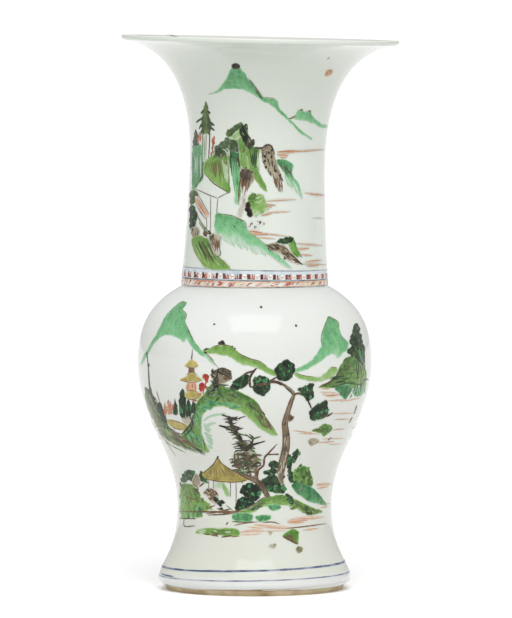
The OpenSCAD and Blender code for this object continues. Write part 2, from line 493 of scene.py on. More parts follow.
def enamel_material(name, pale, deep, roughness=0.18, uneven=0.4):
    """Enamel that thins out to the glaze where its wash is weak and pools unevenly."""
    material, nodes, links, shader = new_material(name)
    wash = nodes.new("ShaderNodeAttribute")
    wash.attribute_name = "wash"
    pool = nodes.new("ShaderNodeMath")
    pool.operation = "MULTIPLY_ADD"
    links.new(add_noise(nodes, links, scale=260, detail=4, stretch=(1, 1, 0.5)), pool.inputs[0])
    pool.inputs[1].default_value = 2 * uneven
    pool.inputs[2].default_value = 1 - uneven
    strength = nodes.new("ShaderNodeMath")
    strength.operation = "MULTIPLY"
    links.new(wash.outputs["Fac"], strength.inputs[0])
    links.new(pool.outputs["Value"], strength.inputs[1])
    colour = add_ramp(nodes, links, strength.outputs["Value"], [(0.0, GLAZE), (0.5, pale), (1.0, deep)])
    links.new(colour, shader.inputs["Base Color"])
    shader.inputs["Roughness"].default_value = roughness
    shader.inputs["Specular IOR Level"].default_value = 0.25
    return material


# Paint


class Pigment:
    """All the shapes painted in one enamel on one wall. They become one piece."""

    def __init__(self, name, wall, material):
        self.name = name
        self.wall = wall
        self.material = material
        self.spots = []
        self.faces = []
        self.washes = []
        self.size = 0

    def add(self, spots, faces, washes, layer):
        """Adds a shape: [turn, height] rows, faces that index them, and the strength of the wash at each."""
        lift = LIFT + LAYER_STEP * layer + SHAPE_STEP * (len(self.spots) % SHAPE_STEPS)
        whole = 2 * math.pi * round(spots[:, 0].mean() / (2 * math.pi))
        self.spots.append(np.c_[spots[:, 0] - whole, spots[:, 1], np.full(len(spots), lift)])
        self.faces.extend(tuple(self.size + i for i in face) for face in faces)
        self.washes.append(np.broadcast_to(washes, len(spots)))
        self.size += len(spots)

    def build(self):
        """Makes the piece, if anything was painted with the enamel."""
        if not self.faces:
            return
        spots = np.vstack(self.spots)
        points = self.wall.place(spots[:, 0], spots[:, 1], spots[:, 2]) * MM
        piece = new_piece(self.name, points, self.faces, self.material)
        set_wash(piece, np.concatenate(self.washes))
        unroll(piece.data, spots[:, 0], spots[:, 1])


def new_piece(name, points, faces, material):
    """A smooth-shaded piece that rides on the vase."""
    mesh = bpy.data.meshes.new(name)
    mesh.from_pydata([tuple(p) for p in points], [], faces)
    mesh.shade_smooth()
    mesh.materials.append(material)
    piece = bpy.data.objects.new(name, mesh)
    bpy.context.scene.collection.objects.link(piece)
    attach(piece, "root")
    return piece


def set_wash(piece, washes):
    """Writes the strength of the wash at each point of a piece, for its enamel to read."""
    attribute = piece.data.attributes.new("wash", "FLOAT", "POINT")
    attribute.data.foreach_set("value", washes.astype(np.float32))


def unroll(mesh, turns, heights):
    """Lays the wall out flat as a texture map."""
    layer = mesh.uv_layers.new(name="OFBake")
    index = np.zeros(len(mesh.loops), int)
    mesh.loops.foreach_get("vertex_index", index)
    low, high = heights.min(), heights.max()
    left, right = turns.min(), turns.max()
    across = (turns[index] - left) / max(right - left, TINY)
    up = (heights[index] - low) / max(high - low, TINY)
    places = MAP_MARGIN + (1 - 2 * MAP_MARGIN) * np.c_[across, up]
    layer.data.foreach_set("uv", places.astype(np.float32).ravel())


def inside(points, outline):
    """Which points lie inside a closed outline."""
    after = np.roll(outline, -1, axis=0)
    rise = after[:, 1] - outline[:, 1]
    rise[rise == 0] = TINY
    spans = (outline[None, :, 1] > points[:, None, 1]) != (after[None, :, 1] > points[:, None, 1])
    share = (points[:, None, 1] - outline[None, :, 1]) / rise
    crossing = outline[None, :, 0] + share * (after - outline)[None, :, 0]
    return (spans & (points[:, None, 0] < crossing)).sum(1) % 2 == 1


def grid_inside(outline, grain):
    """Points of a square grid that lie well inside a closed outline."""
    axes = [np.arange(low + grain / 2, high, grain) for low, high in zip(outline.min(0), outline.max(0))]
    grid = np.array(np.meshgrid(*axes)).reshape(2, -1).T
    grid = grid[inside(grid, outline)]
    if not len(grid):
        return grid
    apart = np.linalg.norm(grid[:, None] - outline[None], axis=2).min(1)
    return grid[apart > GRID_CLEAR * grain]


def outward(outline):
    """Unit steps out of a closed outline at each of its points."""
    way = np.roll(outline, -1, axis=0) - np.roll(outline, 1, axis=0)
    after = np.roll(outline, -1, axis=0)
    turning = (outline[:, 0] * after[:, 1] - after[:, 0] * outline[:, 1]).sum()
    out = np.c_[way[:, 1], -way[:, 0]] * (1 if turning > 0 else -1)
    return out / np.maximum(np.linalg.norm(out, axis=1), TINY)[:, None]


def along(points, share):
    """The point at a share of the way along a line of points."""
    points = np.array(points, float)
    place = share * (len(points) - 1)
    i = min(int(place), len(points) - 2)
    return points[i] + (points[i + 1] - points[i]) * (place - i)


class Brush:
    """Paints shapes given in photograph pixels on a wall, or turned to another side of it.

    Each call paints one layer higher than the call before it, so later strokes cover earlier ones.
    """

    def __init__(self, wall, paints, turn=0.0, seed=1):
        self.wall = wall
        self.paints = paints
        self.turn = math.radians(turn)
        self.random = random.Random(seed)
        self.layer = 0

    def begin(self, layer):
        """Starts a motif at a layer of its own. Motifs that don't overlap share their layers."""
        self.layer = layer

    def spots(self, pixels):
        """The [turn, height] rows for pixels, turned to the brush's side of the vase."""
        found = self.wall.trace(pixels)
        return np.c_[self.turn + found[:, 0], found[:, 1]]

    def stray(self, far):
        """A step by chance of up to so many pixels across and down."""
        return [self.random.uniform(-far, far), self.random.uniform(-far, far)]

    def stroke(self, paint, points, width, wash, taper):
        """A ribbon of paint along points. The taper is the share of its length that thins at each end."""
        rows = np.array([(*p, width) if len(p) == 2 else p for p in points], float)
        path = evenly(smooth(rows), STROKE_STEP)
        spots = self.spots(path)
        radius = self.wall.radius(spots[:, 1])
        way = np.gradient(np.c_[spots[:, 0] * radius.mean(), spots[:, 1]], axis=0)
        way /= np.maximum(np.linalg.norm(way, axis=1), TINY)[:, None]
        share = np.linspace(0, 1, len(path))
        thin = np.clip(np.minimum(share, 1 - share) / taper, THIN_END, 1)
        wobble = np.array([self.random.uniform(*STROKE_WOBBLE) for _ in path])
        half = 0.5 * path[:, 2] * np.sqrt(thin) * wobble
        aside = np.c_[-way[:, 1] * half / radius, way[:, 0] * half]
        count = len(path)
        faces = [(i, i + 1, count + i + 1, count + i) for i in range(2 * count - 1) if i != count - 1]
        washes = np.repeat([STROKE_EDGE * wash, wash, STROKE_EDGE * wash], count)
        ribbon = np.vstack([spots - aside, spots, spots + aside])
        self.paints[paint].add(ribbon, faces, washes, self.layer)

    def line(self, paint, points, width=0.7, wash=1.0, taper=0.3):
        """A brush line, thinner towards its ends. A third number at a point is the width there, in mm."""
        self.lines(paint, [points], width, wash, taper)

    def lines(self, paint, strokes, width=0.7, wash=1.0, taper=0.3):
        """Several brush lines in one layer."""
        self.layer += 1
        for stroke in strokes:
            self.stroke(paint, stroke, width, wash, taper)

    def fill(self, paint, outline, wash=1.0, grain=1.2):
        """A wash inside an outline. A third number at a point is the strength of the wash there.

        The grain is the distance in mm between the points inside.
        """
        self.layer += 1
        rows = np.array([(*p, wash) if len(p) == 2 else p for p in outline], float)
        rim = evenly(smooth(rows, closed=True), FILL_STEP, closed=True)
        rim[:, :2] += self.ragged(len(rim))
        edge = self.spots(rim)
        scale = self.wall.radius(edge[:, 1]).mean()
        flat = np.c_[edge[:, 0] * scale, edge[:, 1]]
        flat += EDGE_SPREAD * outward(flat)
        corners = [Vector(p) for p in np.vstack([flat, grid_inside(flat, grain)])]
        border = [list(range(len(flat)))]
        verts, _, faces, _, _, _ = delaunay_2d_cdt(corners, [], border, 1, MERGE)
        found = np.array([tuple(v) for v in verts])
        apart = np.linalg.norm(found[:, None] - flat[None], axis=2)
        near = 1 / (apart + FILL_BLEND) ** 2
        strength = (near * rim[None, :, 2]).sum(1) / near.sum(1)
        strength *= EDGE_WASH + (1 - EDGE_WASH) * np.minimum(apart.min(1) / EDGE_SOFT, 1)
        strength *= np.array([self.random.uniform(*FILL_TONES) for _ in found])
        spots = np.c_[found[:, 0] / scale, found[:, 1]]
        self.paints[paint].add(spots, [tuple(f) for f in faces], strength, self.layer)

    def touch(self, paint, x, y, size, wash=1.0, tall=1.0):
        """A round touch of the brush, size in mm across."""
        centre = self.spots([(x, y)])[0]
        angles = np.linspace(0, 2 * math.pi, TOUCH_CORNERS, endpoint=False)
        rough = 0.5 * size * np.array([self.random.uniform(*TOUCH_ROUGH) for _ in angles])
        ring = np.c_[centre[0] + rough * np.cos(angles) / self.wall.radius(centre[1]),
                     centre[1] + tall * rough * np.sin(angles)]
        faces = [(0, 1 + i, 1 + (i + 1) % len(ring)) for i in range(len(ring))]
        washes = np.r_[1.0, [TOUCH_EDGE] * len(ring)] * wash
        self.paints[paint].add(np.vstack([centre, ring]), faces, washes, self.layer)

    def dots(self, paint, places, size, wash=1.0):
        """Touches of about one size at given places."""
        self.layer += 1
        for x, y in places:
            self.touch(paint, x, y, size * self.random.uniform(*DOT_SIZES), wash)

    def ragged(self, count):
        """Small uneven steps, in pixels, for the points of an edge."""
        steps = np.array([[self.random.gauss(0, EDGE_UNEVEN) for _ in range(2)] for _ in range(count)])
        return (steps + np.roll(steps, 1, axis=0) + np.roll(steps, 2, axis=0)) / 2

    def scatter(self, outline, count):
        """Places at random inside an outline."""
        outline = np.array(outline, float)[:, :2]
        low, high = outline.min(0), outline.max(0)
        places = []
        while len(places) < count:
            place = np.array([self.random.uniform(a, b) for a, b in zip(low, high)])
            if inside(place[None], outline)[0]:
                places.append(place)
        return places

    def leaves(self, paint, outline, count, size, wash=1.0):
        """Touches of the brush scattered inside an outline and a little over its edge."""
        self.layer += 1
        for place in self.scatter(outline, count):
            x, y = place + self.stray(LEAF_STRAY)
            tone = wash * self.random.uniform(*BRUSH_TONES)
            wide = size * self.random.uniform(*LEAF_SIZES)
            self.touch(paint, x, y, wide, tone, self.random.uniform(*LEAF_SIZES))

    def hatch(self, paint, outline, count, length, lean, width=0.8, wash=0.9):
        """Short strokes scattered inside an outline, at about one angle, in degrees up from the level."""
        self.layer += 1
        for place in self.scatter(outline, count):
            angle = math.radians(lean + self.random.uniform(-HATCH_SPREAD, HATCH_SPREAD))
            reach = 0.5 * length * self.random.uniform(*HATCH_LENGTHS)
            way = np.array([math.cos(angle), -math.sin(angle)]) * reach
            bend = place + self.stray(HATCH_STRAY)
            tone = wash * self.random.uniform(*BRUSH_TONES)
            wide = width * self.random.uniform(*HATCH_WIDTHS)
            self.stroke(paint, [place - way, bend, place + way], wide, tone, SOFT_TAPER)

    def leafy(self, outline):
        """The outline with uneven lobes, as a clump of leaves has them."""
        edge = evenly(smooth(outline, closed=True), LEAF_STEP, closed=True)
        reach = np.array([self.random.uniform(-LEAF_DEPTH, LEAF_DEPTH) for _ in edge])
        edge[:, :2] += outward(edge) * reach[:, None]
        return edge

    def foliage(self, outline, ground, light, wash=1.0, size=2.8):
        """A clump: a ground wash, a few light lobes, and touches of the ground's colour over them."""
        rows = np.array(outline, float)[:, :2]
        after = np.roll(rows, -1, axis=0)
        area = 0.5 * abs((rows[:, 0] * after[:, 1] - after[:, 0] * rows[:, 1]).sum())
        lobes = max(2, round(area / LOBE_AREA))
        self.fill(ground, self.leafy(outline), wash)
        self.leaves(light, outline, lobes, LOBE_SIZE * size)
        self.leaves(ground, outline, LEAVES_PER_LOBE * lobes, size, LEAF_WASH * wash)

    def streaks(self, paint, field, count, width=0.6, wash=1.0, reach=0.8):
        """Soft strokes side by side, from a field's first two points towards its last two."""
        self.layer += 1
        for i in range(count):
            share = (i + self.random.uniform(*STREAK_PLACES)) / count
            start, end = along(field[:2], share), along(field[2:], share)
            first = start + (end - start) * self.random.uniform(*STREAK_STARTS)
            last = start + (end - start) * reach * self.random.uniform(*STREAK_ENDS)
            bend = (first + last) / 2 + self.stray(STREAK_STRAY)
            tone = wash * self.random.uniform(*STREAK_TONES)
            wide = width * self.random.uniform(*STREAK_WIDTHS)
            self.stroke(paint, [first, bend, last], wide, tone, SOFT_TAPER)

    def water(self, strokes, strength=1.0):
        """Red lines on the water, soft with a thin core: left x and y, right x and y, width in mm."""
        for share, wash in WATER_COATS:
            self.layer += 1
            for x0, y0, x1, y1, width in strokes:
                sway = self.random.uniform(-WATER_SWAY, WATER_SWAY)
                middle = ((x0 + x1) / 2, (y0 + y1) / 2 + sway)
                tone = wash * strength * self.random.uniform(*WATER_TONES)
                self.stroke("iron_red", [(x0, y0), middle, (x1, y1)], share * width, tone, WATER_TAPER)


# Landscape on the neck


def neck_far_hills(brush):
    peak = [(232.5, 67, .75), (238.5, 67, .75), (244, 72.5, .75), (248, 79, .8), (252.5, 84.5, .8),
            (258, 91, .85), (262.5, 96.5, .8), (268, 98, .65), (274.5, 98.8, .75), (277.5, 102, .75),
            (278.5, 106.5, .7), (283, 112.3, .65), (288, 117.6, .65), (292.5, 121.6, .65), (298, 127.6, .6),
            (303.5, 132.2, .55), (310, 136.6, .5), (312.5, 139.5, .35), (309, 139, .35), (302, 134.2, .5),
            (296, 128.6, .55), (290.5, 122.8, .6), (284, 117.2, .6), (278.5, 112, .6), (274, 107.4, .55),
            (267.5, 103, .5), (262, 100.3, .6), (257, 97, .5), (250, 93, .35), (246, 91, .3),
            (241.5, 89, .55), (235, 88.4, .65), (228.5, 88.4, .65), (223, 90, .6), (217.7, 92.6, .5),
            (213.4, 94.2, .4), (208, 94.6, .15), (212, 93, .4), (216.5, 91, .55), (222, 85.4, .65),
            (226.2, 79, .7), (229.5, 72.6, .75)]
    hill = [(291, 116.6, .5), (294.7, 115.6, .5), (298, 110.7, .55), (301.8, 109.5, .55), (305, 112, .55),
            (309.9, 110.4, .55), (311.5, 115, .6), (315.3, 119.2, .6), (321.8, 123.6, .55),
            (328.5, 125.7, .4), (326.2, 127.9, .4), (320.8, 127, .5), (313.2, 123.2, .5), (305, 121, .5),
            (296.9, 120, .4)]
    tip = [(231.8, 66.5), (233, 64), (236, 63.2), (239.2, 64.6), (239, 67.4), (236.4, 69), (233, 68.8)]
    brush.fill("blue_green", peak)
    brush.fill("blue_green", hill)
    brush.fill("black", tip, 0.95)
    peak_ridge = [(248.5, 78), (254, 85), (258.5, 91.3), (262.8, 96.4)]
    brush.line("brown", peak_ridge, 0.9, 0.75)
    saddle = [(262.8, 96.6), (269, 97.6), (275, 98.4)]
    brush.line("brown", saddle, 0.5, 0.5)
    left_end = [(208, 94.4), (213, 93.2), (217, 91)]
    brush.line("brown", left_end, 0.5, 0.4)
    hill_foot = [(288.5, 118.5), (292, 118), (295.5, 115.5)]
    brush.line("brown", hill_foot, 1.4, 0.7)
    knobs = [[(299, 110.8), (301.5, 109.4), (303, 110)], [(308, 111.6), (310.2, 110.6), (311, 113)]]
    brush.lines("brown", knobs, 1.2, 0.6)
    seam = [(256, 91), (260, 96), (263, 99)]
    brush.line("dark_green", seam, 1.6, 0.6)


def neck_conifers(brush):
    tall = [(205.7, 101.6, .6), (207.4, 106, .6), (208.4, 112, .65), (209.8, 118, .8), (211.4, 124, .85),
            (210.6, 130, .85), (209.6, 135, .8), (206.4, 133, .6), (203, 135, .7), (202, 129, .75),
            (201.4, 122, .7), (202.8, 114, .6), (203.8, 107, .55)]
    short = [(195, 130), (197.6, 135.6), (199, 143), (197, 148), (193.2, 149), (192.8, 142), (193.8, 135.6)]
    boughs = [[(204.6, 117), (200, 119.6), (196, 122.6)], [(208.4, 120.4), (211.4, 123.4), (214.6, 125.6)],
              [(208.6, 124.4), (211.6, 128), (214.6, 130.6)],
              [(204.4, 109.6), (202.4, 112), (200.8, 113.6)], [(207, 110), (209.2, 112.4), (210.6, 113.6)],
              [(204, 122.4), (201, 125.6), (199, 129)], [(204, 128), (201.6, 131.4), (200.4, 134.6)],
              [(206, 104), (207.4, 107.4), (208.6, 108.6)]]
    brush.fill("olive", tall)
    brush.lines("dark_green", boughs, 2.1, 0.75)
    brush.hatch("dark_green", tall, 20, 5, 85, 0.9, 0.85)
    brush.foliage(short, "dark_green", "olive", 0.8, 2.0)
    trunks = [[(209.2, 117), (209.8, 128), (209.6, 142), (208.4, 163)],
              [(203, 122), (202.8, 150), (202.6, 180)]]
    brush.lines("black", trunks, 1.1, 0.8, 0.1)
    pale_trunks = [[(206.2, 104), (206.4, 125), (205.8, 162)], [(204.4, 136), (204.6, 150), (204, 165)]]
    brush.lines("olive", pale_trunks, 0.9, 0.6)
    tip = [(205.7, 101), (205.8, 105)]
    brush.line("black", tip, 1.0, 0.8)
    red = [[(199.6, 132), (199, 138), (198, 144)], [(201.2, 134), (200.2, 142)],
           [(197.4, 137), (197.8, 143)], [(214.4, 136), (213.4, 142)], [(212.4, 140), (215, 144)],
           [(213.6, 144), (211.8, 150)], [(212.6, 150), (213.6, 154)], [(211, 152), (211.8, 157)],
           [(212.4, 138), (213.4, 147)]]
    brush.lines("iron_red", red, 2.0, 0.9)
    red_stem = [(213.4, 140), (212.6, 150), (211, 160)]
    brush.line("brown", red_stem, 0.6, 0.8)


def neck_cliff(brush):
    left_face = [(192.6, 149, .85), (197.5, 146.5, .8), (202, 145.6, .6), (202.6, 160, .75),
                 (202.3, 178, .8), (199, 183, .7), (195.5, 187.5, .7), (192.3, 190, .8), (192, 170, .9)]
    shoulder = [(215.2, 149), (218, 145), (222.5, 141), (226.6, 138), (231, 136.6), (235, 139), (238, 144),
                (238, 152), (232, 150), (227, 152), (221, 157), (216, 155)]
    arm = [(226, 133.4, .8), (229, 130.4, .8), (233.6, 127.2, .85), (238, 124, .9), (241.4, 122.4, .9),
           (241.8, 126.4, .9), (238.6, 128.6, .8), (235, 131.6, .75), (231.6, 135, .7), (228, 136.4, .7)]
    crown = [(241.6, 123.6), (243.8, 126), (246, 123.6), (247.4, 129), (248.8, 136), (251.2, 140.4),
             (254, 140.6), (253.8, 144.6), (249.6, 148.6), (246.4, 146), (243.4, 141), (240.8, 134.4),
             (240, 129)]
    heart = [(236, 137.4, .65), (238.6, 134, .5), (241, 138, .75), (246, 145.6, .85), (246, 152, .8),
             (240, 153, .75), (237, 146, .7)]
    leaf = [(203.6, 172, .7), (205, 163, .7), (210, 157, .65), (216, 153, .75), (222, 151.5, .8),
            (227.5, 154, .75), (228.8, 165, .55), (229.2, 177, .6), (229.8, 192.2, .75), (222, 188.6, .65),
            (213.4, 182, .5), (206.4, 176, .5)]
    strip = [(228.6, 156, .9), (230.5, 149, 1.1), (235, 147.5, 1.2), (239.4, 152, 1.2), (239.2, 163, 1.1),
             (239.6, 177, .9), (240.8, 193, .7), (239, 201, .5), (236.2, 205, .3), (234.4, 199, .4),
             (235.8, 188, .55), (233.4, 177, .65), (230, 166, .8)]
    blade = [(239.6, 156, .7), (243, 150, .85), (248, 147.5, .95), (253, 147, .95), (259.5, 149, .85),
             (257.6, 158, .75), (257, 166.5, .8), (261.6, 178, .85), (266.4, 187.5, .8), (266.6, 191.4, .5),
             (261, 187.6, .65), (252, 174.6, .6), (246.5, 170, .55), (241.8, 168, .55)]
    root = [(240.6, 171, 1.0), (244.6, 168.6, 1.1), (250.6, 171, 1.0), (253.8, 179, .7), (249, 187.4, .6),
            (245.8, 195.4, .6), (244.6, 206, .4), (241, 217, .3), (237, 218.6, .15), (239.6, 205, .4),
            (241.4, 193.4, .6), (240, 180.4, .8)]
    boulder = [(262, 148, .7), (266, 145.4, .8), (271, 147, .8), (274, 151.4, .75), (274.8, 158, .65),
               (277, 165, .65), (280.6, 172.4, .6), (282.6, 180, .4), (281, 187, .25), (277, 181, .3),
               (272.6, 176, .4), (267.4, 172, .45), (264, 164, .5), (261.4, 155, .5)]
    outlier = [(276.6, 161.6, .85), (280.4, 159.8, .95), (286, 160.6, .9), (293.2, 165, .75),
               (291.8, 171.7, .7), (293, 177, .65), (298.2, 183.6, .6), (302, 195.6, .5),
               (301.6, 199.4, .4), (298, 192.6, .45), (293.4, 186.6, .4), (288, 185.2, .3),
               (285.6, 178.2, .5), (282.6, 170.6, .75)]
    brush.fill("blue_green", left_face)
    brush.fill("leaf_green", leaf)
    brush.fill("blue_green", strip)
    brush.fill("leaf_green", blade)
    brush.fill("leaf_green", heart)
    brush.foliage(shoulder, "dark_green", "olive", 0.6)
    gap = [(229, 136.6), (236, 130), (241, 126.6), (241, 134), (238, 139), (233, 139)]
    brush.fill("leaf_green", gap, 0.4)
    brush.fill("olive", arm)
    brush.fill("dark_green", crown, 1.0)
    brush.fill("aubergine", root)
    brush.fill("aubergine", boulder)
    brush.fill("blue_green", outlier)
    neck_cliff_strokes(brush)
    neck_rock_strokes(brush, root, boulder)
    brush.leaves("olive", arm, 16, 2.2, 0.85)
    brush.hatch("dark_green", arm, 14, 5, 35, 1.1, 0.7)
    brush.hatch("black", crown, 12, 6, 105, 0.9, 0.8)
    brush.hatch("leaf_green", crown, 4, 4, 105, 0.8, 0.7)


def neck_cliff_strokes(brush):
    """Dark and pale strokes that model the green faces of the neck's cliff."""
    faces = [("dark_green", [(193, 150), (202, 147), (193, 190), (202, 178)], 4, 0.8, 0.5),
             ("blue_green", [(194, 150), (201, 147), (194, 186), (201, 178)], 4, 1.0, 0.4),
             ("dark_green", [(217, 150), (238, 140), (210, 163), (238, 156)], 10, 1.0, 0.7),
             ("olive", [(207, 160), (227, 153), (213, 180), (228, 186)], 9, 1.1, 0.8),
             ("brown", [(209, 162), (226, 154), (213, 176), (227, 180)], 6, 0.7, 0.7),
             ("leaf_green", [(222, 160), (228, 158), (225, 184), (229, 188)], 4, 1.0, 0.4),
             ("dark_green", [(230, 150), (239, 152), (232, 180), (239, 186)], 8, 1.2, 0.7),
             ("blue_green", [(231, 156), (238, 158), (235, 196), (239, 198)], 4, 0.8, 0.75),
             ("leaf_green", [(241, 153), (248, 152), (243, 168), (251, 172)], 4, 1.0, 0.55),
             ("dark_green", [(249, 150), (258, 148), (253, 168), (259, 174)], 6, 1.0, 0.75),
             ("leaf_green", [(257, 151), (259, 150), (257, 172), (260, 174)], 2, 0.8, 0.35),
             ("dark_green", [(278, 161), (291, 166), (285, 176), (294, 180)], 6, 0.9, 0.6),
             ("blue_green", [(284, 172), (294, 182), (290, 190), (301, 197)], 5, 0.8, 0.35)]
    for paint, field, count, width, wash in faces:
        brush.streaks(paint, field, count, width, wash)
    pale_edges = [[(222.4, 149.4), (226, 151), (227.6, 157)], [(225.6, 148), (229, 150.6), (229.4, 158)],
                  [(233, 135), (236, 132), (239, 131)]]
    brush.lines("leaf_green", pale_edges, 0.9, 0.25)
    left_seam = [(203.6, 162), (202.8, 172), (203.4, 178)]
    brush.line("black", left_seam, 0.9, 0.8)
    middle_seam = [(229.4, 154), (229, 170), (229.8, 192)]
    brush.line("brown", middle_seam, 0.5, 0.6)
    right_seam = [(238.4, 153), (239.6, 163), (241, 169), (246, 171)]
    brush.line("black", right_seam, 0.7, 0.7)
    knots = [(247.8, 146.2), (247, 145), (253.4, 140.4), (219, 149.6), (217, 151.4)]
    brush.dots("black", knots, 2.4, 0.95)
    shade = [(216, 150), (228, 138), (236, 139), (236, 148), (222, 155)]
    brush.leaves("black", shade, 14, 1.2, 0.75)
    red_spots = [(221, 155), (219.6, 160), (242.6, 150.4), (211.6, 155)]
    brush.dots("iron_red", red_spots, 1.7, 0.9)


def neck_rock_strokes(brush, root, boulder):
    """Brown and black strokes and dots on the bare rocks of the neck's cliff."""
    root_face = [(241, 171), (252, 173), (238, 212), (247, 196)]
    brush.streaks("brown", root_face, 9, 0.7, 0.9)
    root_top = [(241, 170), (252, 173), (241, 182), (249, 186)]
    brush.streaks("black", root_top, 8, 1.0, 0.8)
    root_shade = [(241, 169.4), (247, 168), (253, 174), (248, 177), (242, 175)]
    brush.leaves("black", root_shade, 10, 2.0, 0.85)
    root_foot = [(242, 180), (248, 186), (238, 216), (243, 206)]
    brush.streaks("aubergine", root_foot, 4, 0.8, 0.15)
    brush.hatch("brown", boulder, 16, 6, 105, 0.7, 0.8)
    brush.hatch("black", boulder, 12, 6, 105, 0.9, 0.8)
    boulder_foot = [(271, 172), (281, 176), (275, 188), (283, 197)]
    brush.streaks("brown", boulder_foot, 7, 0.6, 0.75)
    crests = [[(254.6, 147.4), (260, 148.2), (264, 147.2)],
              [(262.6, 147.4), (266, 145.2), (270.6, 145.6), (273.6, 150)]]
    brush.lines("black", crests, 1.5, 0.75)
    specks = [(265.2, 156.6), (264.8, 161), (265.8, 167), (268.8, 152.6), (272, 150), (271.4, 157),
              (275.6, 170.8), (280, 175.6)]
    for x, y in specks:
        brush.touch("black", x, y, 1.9, 0.95, 1.5)


def neck_house(brush):
    upper_bush = [(190.5, 192), (195.6, 190.5), (197, 197), (193.6, 203), (190.4, 205)]
    brush.foliage(upper_bush, "olive", "dark_green", 0.9, 2.2)
    lower_bush = [(190, 208), (193.4, 206.6), (197, 214), (196.4, 222), (193.6, 229), (190.4, 226)]
    brush.foliage(lower_bush, "dark_green", "bright_green", 0.95, 2.2)
    stone = [(191.4, 229), (196, 227), (199.4, 231), (197.4, 238), (193, 236.6)]
    brush.fill("aubergine", stone, 0.6)
    stone_shade = [(191.4, 228), (198, 228), (199, 236), (193, 236)]
    brush.hatch("black", stone_shade, 7, 5, 75, 0.8, 0.8)
    beam = [(195, 197.6), (197.4, 197), (203, 205), (208.6, 213.6), (207, 217.4), (203, 213), (198.4, 206)]
    brush.fill("iron_red", beam, 0.4)
    battens = [[(195.6, 198), (201, 207.4), (206.4, 216.4)], [(197, 197.6), (203, 206.6), (208, 214.6)],
               [(199, 203), (203, 210), (206, 214)]]
    brush.lines("iron_red", battens, 0.9, 0.85)
    eaves = [[(204.6, 173), (199, 182), (195.6, 188.6)], [(195, 200), (200, 211), (206, 219)],
             [(205, 173.4), (213, 182.6), (222, 188.6), (229.6, 192.4)]]
    brush.lines("brown", eaves, 0.7, 0.9)
    grey = [[(195.6, 188.8), (206, 193.6), (217.6, 198.2)], [(229.4, 192.2), (223.4, 195), (217.6, 198.2)],
            [(218, 198), (217.4, 206), (216.8, 214.6)], [(210.6, 196), (210.8, 215), (210.6, 233)],
            [(193.4, 205), (199, 218), (205.6, 229.6)], [(196, 190), (203, 203), (209.4, 214)],
            [(206.4, 217), (207, 224), (206.6, 230)], [(217.2, 210), (216.4, 222), (215, 231)]]
    brush.lines("black", grey, 0.55, 0.55, 0.15)
    reeds = [[(198, 218), (204, 226), (210, 233)], [(199, 222), (204, 229), (209, 234)]]
    brush.lines("olive", reeds, 0.9, 0.6)
    dark_foot = [(204, 231), (209, 230), (212, 235), (208, 239), (204.4, 236)]
    brush.hatch("black", dark_foot, 8, 4, -40, 1.0, 0.85)
    brown_foot = [(203, 230), (210, 231), (212, 237), (206, 238)]
    brush.hatch("brown", brown_foot, 6, 4, -40, 1.0, 0.9)


def neck_bank(brush):
    bank = [(216.6, 214, .75), (225, 214.6, .75), (232.9, 216.2, .7), (239, 219, .75), (244.8, 222.3, .75),
            (247.4, 230, .7), (255.7, 236.6, .65), (266.5, 245.2, .65), (274.1, 251.6, .6),
            (282.8, 259.3, .55), (291.4, 268.2, .3), (283.9, 265.6, .35), (273, 257.6, .4),
            (265.4, 251.6, .45), (259, 247.5, .4), (257.2, 252.4, .2), (252, 248, .35), (248, 245, .4),
            (243.8, 241.6, .45), (240.5, 244, .2), (235, 240.6, .4), (232, 244.4, .1), (226.4, 240.6, .3),
            (222, 237.4, .35), (216.6, 235, .35), (215, 226, .6)]
    bush = [(249, 196, .9), (254, 193.4, .9), (258, 194, .7), (263.3, 194.6, .65), (264.2, 200, .55),
            (267.8, 205, .55), (268, 209.6, .5), (264.6, 211.6, .45), (260.4, 214.4, .35),
            (256.8, 216.4, .3), (253, 213, .5), (250.6, 207, .7), (248.4, 201, .9)]
    shade = [(246, 203.6), (249.4, 201.6), (250.6, 206), (251, 210), (252.6, 213), (250.4, 217),
             (247.4, 216), (246, 210)]
    brush.fill("blue_green", bank)
    bank_foot = [(217, 230), (264, 248), (226, 243), (270, 261)]
    brush.streaks("blue_green", bank_foot, 12, 1.1, 0.35)
    bank_face = [(220, 218), (246, 228), (226, 230), (262, 244)]
    brush.streaks("blue_green", bank_face, 6, 1.2, 0.75, 0.7)
    upper_edge = [(216.8, 213.8), (225, 214.4), (232.9, 215.9), (239.5, 219), (245, 222.2), (247.4, 230)]
    brush.line("brown", upper_edge, 0.6, 0.85)
    lower_edge = [(247.4, 230), (256, 236.8), (266.5, 245.2)]
    brush.line("brown", lower_edge, 0.5, 0.5)
    moss = [(235, 226.6), (226, 225)]
    brush.dots("dark_green", moss, 1.4, 0.6)
    brush.fill("leaf_green", brush.leafy(bush))
    brush.hatch("leaf_green", bush, 9, 5, 25, 1.1, 0.65)
    brush.hatch("leaf_green", bush, 10, 5, 25, 1.1, 0.4)
    bush_top = [(249, 197), (255, 194), (258, 196), (253, 202), (249, 203)]
    brush.leaves("dark_green", bush_top, 6, 1.7, 0.55)
    brush.fill("black", brush.leafy(shade), 1.0)
    stone = [(248, 224), (253, 221.6), (259, 220.6), (263, 222), (260, 226.6), (254, 229.4), (250, 227.6)]
    brush.fill("aubergine", stone, 0.12)
    specks = [(251.6, 223.6), (255.2, 227.4), (260.2, 222.2), (256.6, 225), (254, 226), (259.4, 223.4),
              (250.4, 225)]
    for x, y in specks:
        brush.touch("black", x, y, 2.2, 0.9, 1.1)
    pebbles = [(264, 223.6), (249.4, 226.4), (257.6, 221.6)]
    brush.dots("aubergine", pebbles, 1.8, 0.5)


